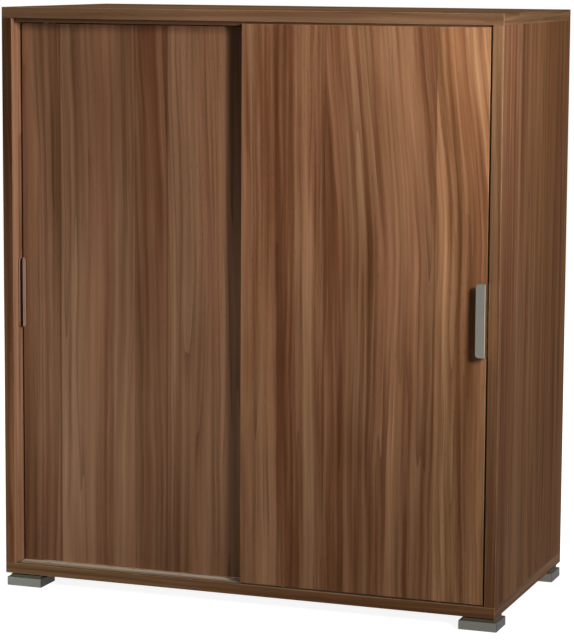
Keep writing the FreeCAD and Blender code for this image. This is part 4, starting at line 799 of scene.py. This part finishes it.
def make_floor():
    """A wide floor that looks white, brighter away from the cabinet, and keeps the cabinet's shadow."""
    half = FLOOR_SIZE / 2
    mesh = bpy.data.meshes.new("floor")
    mesh.from_pydata([(-half, -half, 0), (half, -half, 0), (half, half, 0), (-half, half, 0)], [],
                     [(0, 1, 2, 3)])
    material = bpy.data.materials.new("floor_white")
    material.use_nodes = True
    material.node_tree.nodes.clear()
    sheet = Sheet(material.node_tree)
    matte = sheet.add("ShaderNodeBsdfDiffuse")
    matte.inputs["Color"].default_value = FLOOR_GREY
    distance = sheet.add("ShaderNodeVectorMath", operation="LENGTH")
    sheet.feed(distance.inputs[0], sheet.add("ShaderNodeTexCoord").outputs["Object"])
    glow = sheet.add("ShaderNodeEmission")
    glow.inputs["Color"].default_value = WHITE
    sheet.feed(glow.inputs["Strength"],
               sheet.remap(distance.outputs["Value"], GLOW_START, GLOW_FULL, GLOW_NEAR, GLOW_FAR))
    bright = sheet.add("ShaderNodeAddShader")
    sheet.feed(bright.inputs[0], matte.outputs[0])
    sheet.feed(bright.inputs[1], glow.outputs[0])
    seen = sheet.mix_shader(seen_ray(sheet), matte, bright)
    # it is clear from below, so that the underside of the cabinet can be seen
    below = sheet.add("ShaderNodeNewGeometry").outputs["Backfacing"]
    whole = sheet.mix_shader(below, seen, sheet.add("ShaderNodeBsdfTransparent"))
    sheet.feed(sheet.add("ShaderNodeOutputMaterial").inputs[0], whole.outputs[0])
    mesh.materials.append(material)
    made = bpy.data.objects.new("floor", mesh)
    scene.collection.objects.link(made)
    return made


def make_studio():
    """A dim pale blue world that the camera sees as white."""
    world = bpy.data.worlds.new("studio")
    world.use_nodes = True
    world.node_tree.nodes.clear()
    sheet = Sheet(world.node_tree)
    around = sheet.add("ShaderNodeBackground")
    around.inputs["Color"].default_value = AMBIENT
    around.inputs["Strength"].default_value = AMBIENT_STRENGTH
    backdrop = sheet.add("ShaderNodeBackground")
    backdrop.inputs["Color"].default_value = WHITE
    backdrop.inputs["Strength"].default_value = 1.0
    choice = sheet.mix_shader(seen_ray(sheet), around, backdrop)
    sheet.feed(sheet.add("ShaderNodeOutputWorld").inputs[0], choice.outputs[0])
    return world


def softbox(name, place, target, width, height, power, colour=(1.0, 1.0, 1.0), spread=180.0):
    """A rectangular area lamp at a place, turned to face a target."""
    lamp = bpy.data.lights.new(name, "AREA")
    lamp.shape = "RECTANGLE"
    lamp.size = width
    lamp.size_y = height
    lamp.energy = power
    lamp.color = colour
    lamp.spread = math.radians(spread)
    holder = bpy.data.objects.new(name, lamp)
    holder.location = place
    holder.rotation_euler = (Vector(target) - Vector(place)).to_track_quat("-Z", "Y").to_euler()
    holder.visible_camera = False
    scene.collection.objects.link(holder)


def make_camera():
    """Camera at its place, turned by yaw, pitch and roll."""
    lens = bpy.data.cameras.new("camera")
    lens.lens = LENS
    lens.shift_x, lens.shift_y = LENS_SHIFT
    made = bpy.data.objects.new("camera", lens)
    scene.collection.objects.link(made)
    forward = Vector((-math.sin(YAW) * math.cos(PITCH), math.cos(YAW) * math.cos(PITCH), -math.sin(PITCH)))
    level = Vector((math.cos(YAW), math.sin(YAW), 0.0))
    upward = level.cross(forward)
    right = math.cos(ROLL) * level + math.sin(ROLL) * upward
    top = math.cos(ROLL) * upward - math.sin(ROLL) * level
    made.matrix_world = Matrix.Translation(CAMERA_PLACE) @ Matrix((
        (right.x, top.x, -forward.x), (right.y, top.y, -forward.y), (right.z, top.z, -forward.z))).to_4x4()
    return made


floor = make_floor()
scene.world = make_studio()
softbox("key_near", (1.257, -1.13, 1.078), (0.3, -0.2, 1.02), 0.12, 0.12, 2.45, (0.99, 1.0, 1.03), 60.0)
softbox("key_far", (3.40, -3.00, 2.38), (-0.1, -0.2, 0.6), 0.6, 1.6, 177.0)
softbox("fill", (-1.6, -1.4, 0.2), (-0.45, -0.18, 0.3), 0.4, 0.4, 1.36, (0.76, 0.91, 1.0), 40.0)
softbox("overhead", (0.0, 0.25, 2.7), (0.0, 0.1, 1.2), 0.7, 0.5, 6.0, spread=80.0)
softbox("rear", (-1.5, 2.6, 2.2), (0.0, 0.0, 0.6), 2.0, 1.6, 76.0)
scene.camera = make_camera()
scene.view_settings.view_transform = "Standard"
